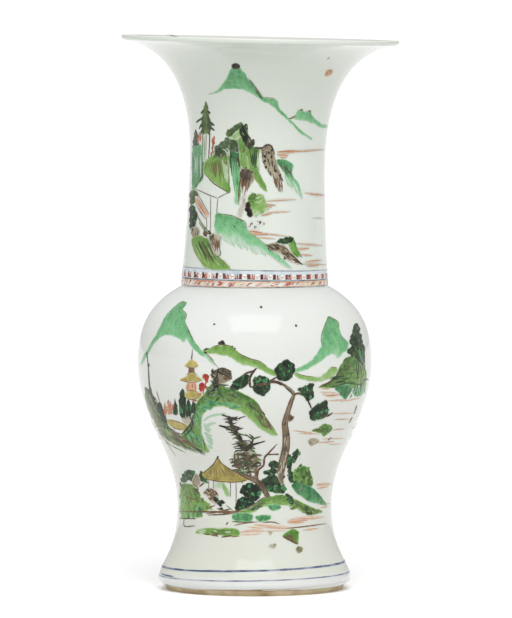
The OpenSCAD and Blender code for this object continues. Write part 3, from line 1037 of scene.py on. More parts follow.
def neck_islet(brush):
    cap = [(276.4, 243), (279, 239.6), (285, 238), (292.6, 238.4), (291, 241.6), (284, 243.2)]
    grass = [(289, 241, .7), (292, 240, .8), (294, 239.6, .75), (295.6, 245.4, .75), (300, 254, .7),
             (299, 256, .6), (294.7, 255.4, .7), (290.4, 249.8, .65), (288.6, 245, .5)]
    rock = [(266.4, 246, .9), (272, 243.6, .85), (279, 244.6, .75), (285.6, 246.4, .65), (289.3, 251.6, .5),
            (295.8, 258, .55), (301, 262.6, .4), (297, 264, .4), (287.1, 259, .45), (278.5, 252.6, .55),
            (270.9, 250.2, .8)]
    brush.fill("aubergine", rock)
    brush.fill("leaf_green", grass)
    brush.hatch("leaf_green", grass, 5, 6, -55, 0.9, 1.0)
    brush.foliage(cap, "dark_green", "olive", 0.9, 2.4)
    brush.hatch("brown", rock, 24, 7, -38, 0.8, 0.95)
    brush.hatch("black", rock, 12, 6, -38, 0.9, 0.85)
    rock_end = [(266.4, 246), (273, 243.6), (279, 246), (276, 250), (270, 250)]
    brush.hatch("black", rock_end, 8, 4, -30, 0.9, 0.9)
    specks = [(268.4, 249), (270.4, 250.4), (276.4, 248.6), (284.4, 258.6), (295.4, 262.4)]
    brush.dots("black", specks, 1.7, 0.9)


def neck_blades(brush):
    blades = [(192.2, 239.2, .75), (196, 237, .75), (200.4, 235.8, .7), (205, 238.4, .85),
              (208.6, 238.6, .85), (209.8, 247.6, .85), (213.4, 253.8, .8), (221, 259.2, .7),
              (226.4, 263.6, .7), (230, 269.4, .6), (218.8, 269.8, .6), (208, 268.6, .55), (201.5, 263, .5),
              (196, 253.4, .5), (192.8, 245, .6)]
    stump = [(209.8, 235.6, .7), (213, 234.4, .6), (217.7, 234.4, .5), (221, 236.6, .4), (220.2, 243.3, .3),
             (219.6, 250.6, .25), (220.8, 254.4, .3), (218, 256.2, .3), (214.5, 252.4, .4),
             (211.2, 245.4, .5)]
    brush.fill("leaf_green", blades)
    pale_blades = [(193, 242), (206, 240), (206, 266), (226, 267)]
    brush.streaks("leaf_green", pale_blades, 7, 1.0, 0.45)
    dark_blades = [(197, 240), (209, 241), (208, 264), (220, 262)]
    brush.streaks("dark_green", dark_blades, 9, 1.0, 0.8)
    olive_blades = [(194, 241), (206, 241), (204, 262), (220, 266)]
    brush.streaks("olive", olive_blades, 8, 0.9, 0.9)
    veins = [[(192.4, 240), (196, 253), (203, 263), (212, 268.6)], [(201, 238), (206, 252), (217, 266)],
             [(209.4, 240), (213, 252), (222, 260), (229, 268)]]
    brush.lines("brown", veins, 0.6, 0.7)
    brush.fill("aubergine", stump)
    stump_face = [(210.6, 236), (220, 237), (214, 251), (219, 254)]
    brush.streaks("brown", stump_face, 7, 0.7, 0.9)
    stump_edges = [[(221, 236.6), (219.6, 247), (220.8, 254), (217.6, 256.4), (214.4, 252.6)],
                   [(210, 236), (212, 245), (215, 252)]]
    brush.lines("black", stump_edges, 0.7, 0.7)
    stump_shade = [(209.6, 236), (214, 235), (214, 240), (211, 241)]
    brush.hatch("black", stump_shade, 6, 4, 80, 0.9, 0.8)


def neck_water(brush):
    waves = [(277, 152, 300, 151, 1.5), (290, 152.4, 324, 149.6, 0.8), (277, 154.6, 288, 155.2, 1.6),
             (280, 157.4, 287, 157, 1.2), (304, 193, 318, 194, 0.8), (310, 194.4, 324.4, 195.4, 1.4),
             (264.6, 201.2, 296, 199.4, 0.9), (265, 204, 276, 205.4, 1.1), (266, 206.6, 272, 207.4, 0.8),
             (266, 212.6, 290, 211.6, 0.8), (261, 216, 272, 213.6, 0.9), (249, 231.2, 262, 232.6, 1.7),
             (250, 233.6, 268, 234.4, 1.3), (258, 233, 286, 236, 0.8), (256, 237.4, 275, 239, 0.7),
             (296, 243.4, 322, 245.4, 0.9), (297, 249, 309, 248, 1.5), (299, 254.4, 312, 255.4, 0.9),
             (305, 261.8, 322, 260, 0.8), (303, 263.8, 326, 264.6, 0.9), (306, 266, 318, 265.6, 0.6)]
    brush.water(waves)
    far_line = [(312, 218.4), (318, 218), (324, 218.6)]
    brush.line("black", far_line, 0.5, 0.3)


def paint_neck(brush):
    neck_far_hills(brush)
    neck_conifers(brush)
    neck_cliff(brush)
    neck_house(brush)
    neck_bank(brush)
    neck_islet(brush)
    neck_blades(brush)
    neck_water(brush)


# Landscape on the body


def body_left_peak(brush):
    peak = [(186.8, 303.2, .7), (181.7, 302, .75), (175.9, 305.4, .7), (169, 311.8, .65),
            (164.4, 317.6, .65), (161, 325.6, .65), (156.2, 335, .65), (151.4, 343, .6), (146.6, 351.2, .6),
            (142, 359.2, .5), (140.4, 365, .3), (143, 362.6, .4), (147.6, 355, .5), (152.2, 346, .5),
            (156.8, 340.4, .5), (162.4, 336.4, .5), (169, 334.6, .45), (174.8, 336.2, .5),
            (179.4, 339, .55), (184, 342, .3), (186, 339.6, .3), (188, 342, .4), (190.6, 345.4, .5),
            (194.8, 350, .55), (201.2, 355.4, .5), (206, 357.4, .35), (210.6, 362.4, .3), (218, 368.4, .15),
            (213, 361.6, .4), (208, 355.4, .55), (202, 350.4, .6), (195, 343, .7), (188.8, 330.4, .75),
            (185, 321.3, .75), (186.6, 314.4, .7), (182.6, 310, .7)]
    brush.fill("blue_green", peak)
    ridges = [[(186.6, 303), (181.6, 302), (176, 305.4), (169, 311.8)],
              [(182.4, 309.8), (186.4, 314.4), (185, 321.4)], [(185.2, 322), (189, 331), (194.6, 342.6)]]
    brush.lines("brown", ridges, 0.6, 0.75)
    right_foot = [(208, 355), (213, 361.4), (219, 368.6)]
    brush.line("brown", right_foot, 0.6, 0.45)
    left_edge = [(164, 318), (157, 333), (147, 350.6)]
    brush.line("brown", left_edge, 0.4, 0.45)


def body_middle_ridge(brush):
    ridge = [(203.5, 350.6, .6), (209.2, 348.9, .65), (215, 346, .75), (224.1, 345.4, .8), (232, 346.4, .8),
             (235.8, 350, .8), (240.2, 354, .8), (249.4, 358.6, .75), (259.7, 361.6, .75), (266, 366, .75),
             (275, 372, .7), (274, 376, .5), (263, 370.6, .5), (251.7, 366.5, .4), (243.7, 365, .4),
             (236.8, 361.9, .45), (231, 357.4, .55), (221.8, 355, .45), (212.7, 353.4, .5), (206, 354, .5)]
    brush.fill("leaf_green", ridge)
    edges = [[(235.6, 350), (240.4, 354), (249.6, 358.4), (259.8, 361.4), (267, 366.4)],
             [(213, 347), (219, 345), (226, 345), (233, 346.8)], [(214, 361), (208, 355), (204, 351)]]
    brush.lines("brown", edges, 0.7, 0.8)
    hut = [(218.4, 344), (220, 341.4), (223.4, 341.2), (224.6, 344.4)]
    brush.fill("black", hut, 0.9)
    knots = [(232.6, 346.6), (234.8, 348.6)]
    brush.dots("brown", knots, 2.2, 0.95)
    left_end = [[(203.6, 350.4), (206.4, 349), (209.4, 348.8)], [(204, 352.4), (207, 353)]]
    brush.lines("dark_green", left_end, 1.6, 0.85)


def body_right_peak(brush):
    peak = [(328.4, 316.8, .75), (333, 318.8, .7), (338.4, 322.4, .7), (339, 328.2, .65), (341.4, 335, .65),
            (345.8, 340.6, .65), (348.9, 343.5, .65), (347.2, 349.2, .6), (342.4, 352.8, .55),
            (338, 359, .3), (335.4, 355, .35), (330.7, 354, .5), (324, 358.6, .5), (318.1, 363.4, .5),
            (311.2, 367, .45), (304.3, 370.4, .45), (296, 372.4, .5), (296, 369.2, .6), (304.3, 365.6, .6),
            (311, 361, .6), (315.8, 355.3, .65), (320.2, 348.6, .65), (321.9, 345.2, .7),
            (321.2, 338.6, .7), (322.8, 330.5, .7), (325.4, 323.4, .75)]
    low_ridge = [(295, 373, .6), (304.3, 375.8, .55), (313.5, 377, .5), (320.4, 376.8, .45),
                 (327, 371.2, .5), (331.8, 366.9, .6), (336.6, 367.6, .6), (335.6, 373.4, .45),
                 (328.6, 379.2, .4), (320.4, 381.4, .45), (308.9, 381, .5), (297, 377, .55)]
    brush.fill("blue_green", peak)
    brush.fill("leaf_green", low_ridge)
    edges = [[(328.6, 316.8), (325.2, 324), (322.6, 331), (321, 339), (321.8, 345.4)],
             [(328.6, 316.8), (333.4, 319), (338.4, 322.4), (339.2, 328.6)], [(341, 335), (346, 341)]]
    brush.lines("brown", edges, 0.6, 0.8)
    low_edges = [[(296, 373), (304, 375.6), (313.5, 376.8)], [(331, 366.6), (333.4, 367.8), (336.6, 367.4)]]
    brush.lines("brown", low_edges, 0.6, 0.7)
    tip = [(328.6, 317.4), (327.6, 318.6)]
    brush.dots("brown", tip, 1.6, 0.8)


def body_right_hill(brush):
    hill = [(319, 387, .9), (333, 380, .9), (340, 366, .95), (350, 356, .9), (360, 358, .85),
            (366, 372, .6), (365, 388, .5), (350, 388, .7), (333, 387, .8)]
    crown = [(352, 346), (357, 339), (362, 342), (365, 354), (363, 365), (356, 358), (348, 352)]
    tip = [(356, 323), (359.4, 331), (362.4, 341), (357, 347), (350.6, 343), (352.4, 331)]
    brush.fill("leaf_green", hill)
    left_foot = [(335, 388), (343, 385), (351, 386), (350, 393), (345, 399), (340, 394)]
    brush.fill("blue_green", left_foot, 0.95)
    right_foot = [(353, 390), (360, 386), (366, 388), (362, 395), (355, 396)]
    brush.fill("blue_green", right_foot, 0.6)
    foot_shade = [(336, 388), (364, 387), (360, 395), (345, 397)]
    brush.hatch("dark_green", foot_shade, 12, 6, 70, 1.4, 0.6)
    slope = [(337, 375), (344, 360), (352, 356), (350, 368), (342, 378)]
    brush.hatch("olive", slope, 16, 7, 45, 2.0, 0.95)
    brush.hatch("olive", hill, 14, 8, 10, 1.6, 0.9)
    lower_shade = [(333, 377), (356, 376), (356, 386), (330, 386)]
    brush.hatch("dark_green", lower_shade, 8, 12, 4, 1.5, 0.8)
    right_shade = [(355, 360), (363, 358), (365, 390), (356, 390)]
    brush.hatch("dark_green", right_shade, 14, 11, 82, 1.4, 0.8)
    right_edge = [(362, 348), (366, 352), (367, 388), (363, 386)]
    brush.hatch("black", right_edge, 6, 14, 88, 1.0, 0.7)
    brush.foliage(crown, "dark_green", "olive", 0.9)
    crown_light = [(355, 343), (360, 342), (364, 358), (361, 362)]
    brush.hatch("bright_green", crown_light, 8, 7, -70, 1.9, 1.0)
    brush.hatch("dark_green", crown, 9, 6, -65, 1.3, 1.0)
    brush.foliage(tip, "dark_green", "olive", 0.9, 2.2)
    shore = [(318.6, 387.4), (327, 383.4), (335, 379)]
    brush.line("brown", shore, 1.6, 0.9)
    reeds = [[(357, 405), (354, 414)], [(352.4, 417), (349, 423)]]
    brush.lines("dark_green", reeds, 2.4, 0.55)


def body_pagoda(brush):
    spire = [(192.4, 348.6, .5), (192.2, 354, .9), (191.6, 360, 1.6)]
    brush.line("black", spire, 0.8, 0.85, 0.2)
    top_roof = [(184.8, 365.4), (189, 361.8), (191.6, 359.6), (194.4, 361.4), (198, 365.2), (195, 367),
                (191.6, 368.4), (188, 367)]
    brush.fill("yellow", top_roof, 0.7)
    top_storey = [(189.4, 368), (194, 368), (195, 372.6), (197, 375), (187, 375.4), (188.6, 372.6)]
    brush.fill("brown", top_storey, 0.65)
    middle_roof = [(180.2, 380), (186.6, 376.6), (190, 373.4), (194, 373.4), (197.6, 377), (202.6, 380),
                   (197, 381.8), (191.4, 382.8), (185.6, 381.6)]
    brush.fill("yellow", middle_roof, 0.85)
    middle_storey = [(187.6, 382.4), (195.4, 382.4), (196, 391.6), (187, 391.6)]
    brush.fill("iron_red", middle_storey, 0.5)
    posts = [[(188.4, 383), (187.8, 391)], [(192.4, 383), (192.8, 388)], [(195, 383), (195.6, 391)]]
    brush.lines("iron_red", posts, 1.0, 0.95)
    low_roof = [(185, 394.6), (190, 391.2), (196.6, 391.4), (201.6, 395), (197, 398.4), (188, 398.4)]
    brush.fill("yellow", low_roof, 0.75)
    eaves = [[(180.4, 380.2), (187, 381.8), (196, 382), (202.4, 380.2)],
             [(187, 391.4), (191.6, 390.4), (197, 391.6)], [(186, 398.4), (192, 399.4), (198, 398.2)],
             [(184.8, 365.6), (191.6, 368.6), (198, 365.4)]]
    brush.lines("brown", eaves, 0.6, 0.85)
    steps = [[(192, 400.4), (198, 400.6)], [(197.6, 395), (202, 393)]]
    brush.lines("iron_red", steps, 1.2, 0.9)


def body_left_trees(brush):
    red = [(164, 402), (167, 396), (170, 402), (174, 408), (172, 417), (166, 417), (163, 410)]
    berries = [(205.4, 376.4), (207.8, 377), (206.6, 380), (202, 385.6), (204.6, 387), (201, 389)]
    brush.dots("deep_red", berries, 4.4, 1.0)
    berry_stem = [(207, 380), (204, 388), (203, 394)]
    brush.line("deep_red", berry_stem, 1.4, 0.8)
    columns = [(175.6, 401, 414, 4.4), (182.8, 389, 415, 5.4), (188.6, 400, 415, 4.4),
               (193.6, 401, 411, 4.0)]
    for x, top, foot, wide in columns:
        column = [(x, top), (x + wide / 2, top + 7), (x + wide / 2, foot), (x - wide / 2, foot),
                  (x - wide / 2, top + 7)]
        brush.fill("dark_green", column, 0.9)
        brush.hatch("bright_green", column, 2, 8, 88, 1.2, 1.0)
        brush.hatch("dark_green", column, 5, 9, 88, 1.3, 1.0)
    brush.hatch("iron_red", red, 16, 7, 84, 1.7, 0.75)
    brush.hatch("deep_red", red, 5, 5, 80, 1.1, 0.6)
    tall_tree = [(147, 352, 1.0), (148.6, 370, 1.8), (150, 388, 3.0), (155.4, 405, 5.0)]
    brush.line("dark_green", tall_tree, 1.0, 0.75, 0.08)
    tall_shade = [[(147.4, 354), (148.6, 370), (150, 388), (154, 403)],
                  [(151, 388), (153, 397), (158, 405)]]
    brush.lines("black", tall_shade, 1.0, 0.7)
    tall_knots = [(147, 354), (148.9, 365)]
    brush.dots("black", tall_knots, 2.6, 0.85)
    stick = [(156.6, 391), (158.4, 397), (160, 403)]
    brush.line("brown", stick, 0.9, 0.7)


def body_left_shore(brush):
    band = [(145, 388, .7), (150, 391, .9), (156, 402, 1.0), (163, 414, .95), (169, 427, .9),
            (180, 435, .8), (196, 444, .6), (208, 452, .3), (194, 452, .3), (178, 446, .45), (163, 436, .5),
            (152, 418, .5), (146, 402, .5)]
    steep = [(146, 390), (150, 391), (163, 414), (170, 428), (164, 436), (152, 416)]
    level = [(164, 424), (180, 435), (204, 450), (192, 451), (176, 444), (163, 434)]
    field = [(167.4, 419.6), (177, 421.4), (189.6, 427.2), (182, 430), (172.5, 426.8)]
    brush.fill("olive", band)
    tones = [("leaf_green", .7), ("brown", .55), ("olive", .85), ("dark_green", .75), ("black", .6)]
    for tone, wash in tones:
        brush.hatch(tone, steep, 8, 16, -62, 1.2, wash)
        brush.hatch(tone, level, 7, 15, -33, 1.1, wash)
    reeds = [[(150, 410), (159, 431), (176, 456)], [(157, 430), (168, 443), (186, 453)]]
    brush.lines("olive", reeds, 1.2, 0.5)
    dark_bank = [(157, 405), (161, 404), (164, 412), (167, 422), (163, 421), (159, 413)]
    brush.fill("dark_green", dark_bank, 0.9)
    path = [(170, 430), (184, 436), (206, 450), (184, 444)]
    brush.hatch("brown", path, 12, 10, -30, 1.2, 0.75)
    stone = [(181, 418), (187, 415), (192, 415), (191, 422), (186, 424)]
    brush.fill("aubergine", stone, 0.4)
    brush.fill("yellow", field, 0.65)
    brush.hatch("yellow", field, 6, 9, -20, 1.0, 0.9)
    field_edges = [[(167.6, 419.6), (178, 421.8), (189.6, 427.4)], [(167.8, 421), (174, 428), (186, 429.6)]]
    brush.lines("brown", field_edges, 0.8, 0.6)
    hedges = [[(192.4, 415), (191, 424), (181, 435)], [(194, 415), (192, 427), (185, 436)]]
    brush.lines("dark_green", hedges, 1.8, 0.7)


def body_cliff(brush):
    cliff = [(196, 404, .95), (206, 392, 1.0), (214, 383, 1.0), (226, 387, 1.0), (242, 393, .95),
             (257, 403, 1.0), (264, 417, .9), (278, 435, .5), (265, 432, .4), (251, 420, .45),
             (243, 412.6, .5), (231, 408.4, .5), (218, 406, .5), (209, 409, .5), (203, 415, .6),
             (201, 424, .6), (203, 437, .6), (209, 452, .45), (196, 446, .9), (183, 436, .9),
             (191, 424, .95), (194, 412, .95)]
    top = [(197, 402), (206, 391), (214, 383), (226, 387), (242, 394), (256, 404), (260, 412), (248, 406),
           (230, 401), (212, 400)]
    inner = [(200, 408), (210, 401), (228, 402), (244, 407), (240, 410), (226, 406), (212, 405), (203, 413)]
    limb = [(194, 412), (200, 412), (199, 426), (204, 442), (207, 450), (196, 444), (186, 436), (192, 424)]
    tail = [(250, 405), (258, 405), (268, 421), (274, 430), (264, 427), (254, 416)]
    brush.fill("leaf_green", cliff)
    brush.hatch("blue_green", inner, 24, 9, 0, 2.2, 0.85)
    brush.hatch("blue_green", limb, 20, 10, -66, 2.0, 0.75)
    brush.hatch("olive", top, 22, 9, -28, 1.5, 0.75)
    brush.hatch("dark_green", top, 20, 8, -28, 1.2, 0.55)
    brush.hatch("dark_green", top, 9, 6, 45, 1.0, 0.65)
    brush.hatch("dark_green", limb, 9, 11, -64, 1.0, 0.55)
    brush.hatch("olive", limb, 7, 10, -64, 1.2, 0.7)
    brush.hatch("olive", tail, 12, 9, -52, 1.7, 0.8)
    brush.hatch("dark_green", tail, 8, 8, -54, 1.3, 0.65)
    mist = [(202, 422), (207, 446), (212, 427), (214, 452)]
    brush.streaks("blue_green", mist, 12, 1.4, 0.4)
    inner_edges = [[(203, 421), (211, 416), (226, 413.6)], [(205, 427), (210, 424), (216, 423)]]
    brush.lines("blue_green", inner_edges, 2.0, 0.35)
    brush.hatch("brown", tail, 6, 6, -50, 1.0, 0.7)
    tail_edge = [(257, 403), (265, 416.6), (275, 430)]
    brush.line("brown", tail_edge, 0.9, 0.7)
    body_cliff_rock(brush)


def body_cliff_rock(brush):
    """The dark bare rock on top of the cliff."""
    rock = [(213, 372), (223, 368), (229, 371), (232, 376), (228, 381), (218, 384), (213, 382)]
    shade = [(212.4, 371), (218, 370), (219, 388), (212, 390)]
    brush.fill("aubergine", rock, 0.7)
    brush.hatch("brown", rock, 12, 7, -20, 1.2, 0.9)
    brush.hatch("black", rock, 14, 7, -25, 1.3, 0.9)
    brush.hatch("black", shade, 16, 6, 75, 1.7, 0.95)
    moss = [(212, 381), (219, 381), (221, 390), (211, 392)]
    brush.leaves("dark_green", moss, 10, 2.4, 1.0)
    edges = [[(213, 372), (222, 368.4), (229, 371), (231.6, 377)], [(216, 383), (223, 385), (229, 385)]]
    brush.lines("black", edges, 1.3, 0.8)


def body_pine(brush):
    trunk = [(283, 485, 4.4), (280.4, 474, 5.8), (282.4, 463, 6.0), (286, 446, 5.8), (285.8, 432, 5.1),
             (285, 422, 4.4), (290.6, 403, 3.2), (293.8, 394.8, 2.9), (288, 387.6, 2.4), (278, 381.4, 1.8)]
    bark = [(278, 482), (279, 464), (283, 446), (282.6, 428), (285, 414), (288, 414), (288.6, 428),
            (289, 446), (286, 464), (283, 482)]
    brush.line("aubergine", trunk, 3, 0.85, 0.1)
    brush.hatch("aubergine", bark, 10, 10, 83, 1.2, 0.5)
    brush.hatch("brown", bark, 14, 9, 83, 0.9, 0.7)
    brush.hatch("black", bark, 8, 5, 83, 1.1, 0.7)
    for side in (-1, 1):
        edge = [(x + side * (0.6 * wide - 0.3), y) for x, y, wide in trunk[1:8]]
        brush.line("brown", edge, 1.2, 0.8, 0.1)
    knots = [(277.4, 467), (283.8, 477), (288.4, 434), (287.4, 451), (284, 424)]
    brush.dots("black", knots, 2.2, 0.8)
    stub = [(288.6, 414), (294, 417.6), (288, 421)]
    brush.fill("brown", stub, 0.8)
    boughs = [[(285, 385.4, 2.2), (275, 381.8, 2.6), (266, 382.6, 2.4), (257, 385.4, 2.0), (251, 387, 1.6),
               (248.6, 383, 1.3)],
              [(250.4, 386.4, 1.4), (250, 378, 1.7), (253.4, 371.6, 1.8), (257, 367.8, 1.0)],
              [(253.6, 371, 1.4), (246, 373.4, 1.4), (241, 377.6, .8)],
              [(293, 394.6, 2.2), (299, 393.4, 1.8), (305, 396.6, 1.6), (309, 403, 1.5), (311.6, 409, 1.2)],
              [(268, 381.6, 1.0), (274, 378.6, 1.2), (280, 375, .9)]]
    brush.lines("brown", boughs, 1.2, 1.0, 0.1)
    bough_shades = [[(250, 379), (253.6, 371.6), (256.6, 368)], [(252, 386.6), (262, 384), (272, 382)],
                    [(284, 386), (294, 395)]]
    brush.lines("black", bough_shades, 1.3, 0.85)
    clumps = [[(275.4, 371), (280, 364), (287, 360.4), (293, 364), (294, 371), (289, 380), (283, 381),
               (278, 378)],
              [(231, 387), (235, 380.6), (241, 377), (247.4, 375), (248.6, 381), (243, 387), (234, 390)],
              [(254, 379), (262, 376.6), (269, 380), (269, 390), (263, 395), (255, 393)],
              [(298.4, 390), (306, 385), (313, 383.6), (312, 393), (313, 398), (308, 400), (304, 395)],
              [(310, 411), (318, 404), (325.4, 400.4), (327.6, 408), (326, 415), (319, 419), (311, 420)]]
    for clump in clumps:
        brush.begin(70)
        brush.foliage(clump, "dark_green", "bright_green", 1.0)
    twigs = [[(255, 384.6), (262, 384.4), (269.6, 382.6)], [(322, 417), (329, 415), (332.4, 412.6)]]
    brush.lines("brown", twigs, 1.8, 0.95)


def body_bare_tree(brush):
    haze = [(233, 456), (240, 450), (250, 450), (258, 455), (259, 464), (254, 472), (244, 472), (236, 466)]
    brush.fill("olive", haze, 0.32)
    limbs = [[(268, 497, 4.6), (263.4, 489, 4.0), (258.6, 482.4, 3.6), (250, 477.4, 2.8), (240, 473, 2.0),
              (231.6, 469.6, 1.0)],
             [(257, 481, 2.8), (255.8, 470.6, 2.4), (255, 458, 1.4)],
             [(251, 477, 2.4), (249, 468.6, 1.9), (251.4, 460, 1.1)]]
    brush.lines("aubergine", limbs, 2, 0.95, 0.05)
    branches = [[(270, 496.6), (265.4, 488.4), (260.6, 481.4), (244, 473.4)],
                [(266, 496.6), (261, 489), (256.4, 483.4), (238, 473.6)],
                [(257, 479, 1.8), (258.4, 470, 1.6), (263.4, 465.6, 1.5), (264.4, 458, 1.6),
                 (268, 453.6, 1.4), (277.4, 443.6, .8)],
                [(267, 454.4), (279, 454.2)], [(234.6, 453), (234.6, 465)], [(237.8, 452), (238.4, 464)],
                [(232, 460), (242, 472)]]
    brush.lines("brown", branches, 1.2, 0.9, 0.1)
    body_twigs(brush)
    spine = [(231, 417, 1.6), (231.6, 425, 3.0), (236, 432, 3.4), (240.6, 439, 3.2), (243, 446, 3.0),
             (246.6, 449.6, 3.2), (250.6, 445, 2.6), (254, 438, 1.0)]
    dark_limbs = [spine, [(218.8, 425.4, 1.2), (226, 427.4, 2.0), (233, 431, 2.0)],
                  [(231, 420.6, 1.0), (246, 416, .7)],
                  [(251, 445, 1.8), (257, 443.4, 1.6), (265.4, 441, .8)]]
    brush.lines("black", dark_limbs, 1.4, 1.0, 0.08)
    body_needles(brush, [point[:2] for point in spine])


def body_needles(brush, spine):
    """Short dark strokes off the top of the bare tree, more of them to the left than to the right."""
    count = 64
    lengths = (4, 11)
    angles = (-25, 45)
    brush.layer += 1
    for _ in range(count):
        x, y = along(spine, brush.random.random())
        side = brush.random.choice((-1, -1, 1))
        angle = math.radians(brush.random.uniform(*angles))
        length = brush.random.uniform(*lengths)
        end = (x + side * length * math.cos(angle), y - length * math.sin(angle))
        tone = brush.random.choice(["black", "black", "black", "olive"])
        brush.stroke(tone, [(x, y, 1.7), (*end, .5)], 1, 0.9, 0.05)


def body_twigs(brush):
    """Hooked twigs that curl to both sides, as the crown of the bare tree."""
    count = 130
    middle_x, middle_y, spread = 246, 461, 6.0
    reaches = (4, 8)
    rises = (0.8, 2.4)
    brush.layer += 1
    for _ in range(count):
        x = brush.random.gauss(middle_x, spread)
        y = brush.random.gauss(middle_y, spread)
        reach = brush.random.choice((-1, 1)) * brush.random.uniform(*reaches)
        rise = brush.random.uniform(*rises)
        hook = [(x, y + rise), (x + 0.5 * reach, y - 0.4 * rise), (x + reach, y + 0.2 * rise)]
        tone = brush.random.choice(["brown", "olive", "black", "black"])
        width = brush.random.uniform(0.8, 1.5)
        wash = brush.random.uniform(0.55, 0.95)
        brush.stroke(tone, hook, width, wash, 0.3)


def body_pavilion(brush):
    roof = [(217.6, 458), (220.4, 462), (225, 466), (229.6, 468.8), (236, 473), (242, 476), (248.6, 479),
            (243, 481), (234, 481.8), (226.5, 481.6), (217, 480.6), (209, 479.4), (204.8, 478),
            (202.6, 473.2), (207, 470), (211.6, 466), (215, 462)]
    brush.fill("yellow", roof, 0.85)
    tiles = [(213, 465), (224, 465), (205, 478), (246, 480)]
    brush.streaks("yellow", tiles, 16, 0.7, 1.1)
    tile_seams = [(212, 466), (226, 467), (208, 478), (244, 479)]
    brush.streaks("brown", tile_seams, 9, 0.4, 0.7)
    roof_edges = [[(217.4, 457.6), (214.6, 462.6), (209, 468.4), (202.4, 473.4)],
                  [(217.8, 457.6), (222, 463.6), (231, 469.6), (240, 474.6), (248.8, 479)],
                  [(204.4, 478), (214, 480.6), (228, 482), (240, 481.6), (248.6, 479.2)]]
    brush.lines("brown", roof_edges, 0.8, 0.9, 0.1)
    finial = [(217.6, 458), (218, 456.6)]
    brush.dots("black", finial, 1.6, 0.8)
    posts = [[(208.8, 480), (208.8, 494)], [(230.4, 482), (230.6, 490), (230.2, 497)],
             [(236, 482), (236.2, 496), (235.6, 510)], [(213.6, 481), (213.4, 489)],
             [(226, 505), (233, 510.6)]]
    brush.lines("black", posts, 0.55, 0.75, 0.1)
    screen = [(221, 482.6), (224.6, 484), (228, 490), (229.4, 495), (226.6, 496), (223.6, 490)]
    brush.fill("leaf_green", screen, 0.5)
    shrub = [(214, 484), (219, 483), (221, 487), (216, 487.6)]
    brush.fill("leaf_green", shrub, 0.3)
    rock = [(204, 491), (211, 489), (217, 492), (219, 503), (213, 503), (207, 497)]
    ground = [(200, 510), (212, 505), (222, 508), (233, 512), (216, 513.6)]
    shade = [(214, 497), (220, 499), (228, 507), (222, 509), (216, 504)]
    brush.fill("aubergine", rock, 0.4)
    brush.hatch("brown", rock, 16, 5, 25, 1.7, 0.8)
    brush.hatch("brown", rock, 7, 6, -40, 1.2, 0.9)
    brush.hatch("brown", ground, 9, 9, 10, 1.3, 0.8)
    brush.hatch("dark_green", shade, 13, 5, -42, 1.8, 1.0)


def body_left_shrub(brush):
    dark = [[(180.6, 479), (184, 473), (188.4, 469.4), (194.4, 472), (194, 478), (187, 481), (182, 482)],
            [(199.4, 473), (203, 471.6), (206.4, 476), (206, 482), (201, 480)]]
    bush = [(182, 487, .8), (187, 483.6, .8), (193, 485, .8), (198, 491, .8), (200, 498, .7),
            (208, 503, .7), (211.6, 509, .6), (203, 512, .6), (202, 517, .6), (192, 517, .5),
            (181, 518, .45), (180, 500, .6)]
    brush.fill("leaf_green", brush.leafy(bush))
    brush.leaves("leaf_green", bush, 26, 4.0, 0.9)
    upper = [(181, 486), (190, 484), (199, 492), (196, 498), (188, 492), (182, 493)]
    brush.leaves("olive", upper, 12, 4.0, 0.9)
    brush.leaves("olive", bush, 10, 3.0, 0.75)
    lower = [(180, 511), (202, 507), (202, 517), (181, 517)]
    brush.leaves("blue_green", lower, 8, 4.0, 0.8)
    light = [(197, 507), (202, 506), (202, 515), (198, 516)]
    brush.leaves("bright_green", light, 4, 3.6, 0.95)
    for clump in dark:
        brush.foliage(clump, "dark_green", "bright_green", 0.7)
    stone = [(194, 475), (199, 476), (199.6, 484), (193, 486)]
    brush.fill("aubergine", stone, 0.6)
    twigs = [[(193, 484), (198, 488), (196, 494)], [(199, 487), (205, 482)],
             [(184, 494), (192, 499), (199, 498)], [(188, 499), (190, 511)]]
    brush.lines("brown", twigs, 1.4, 0.7)


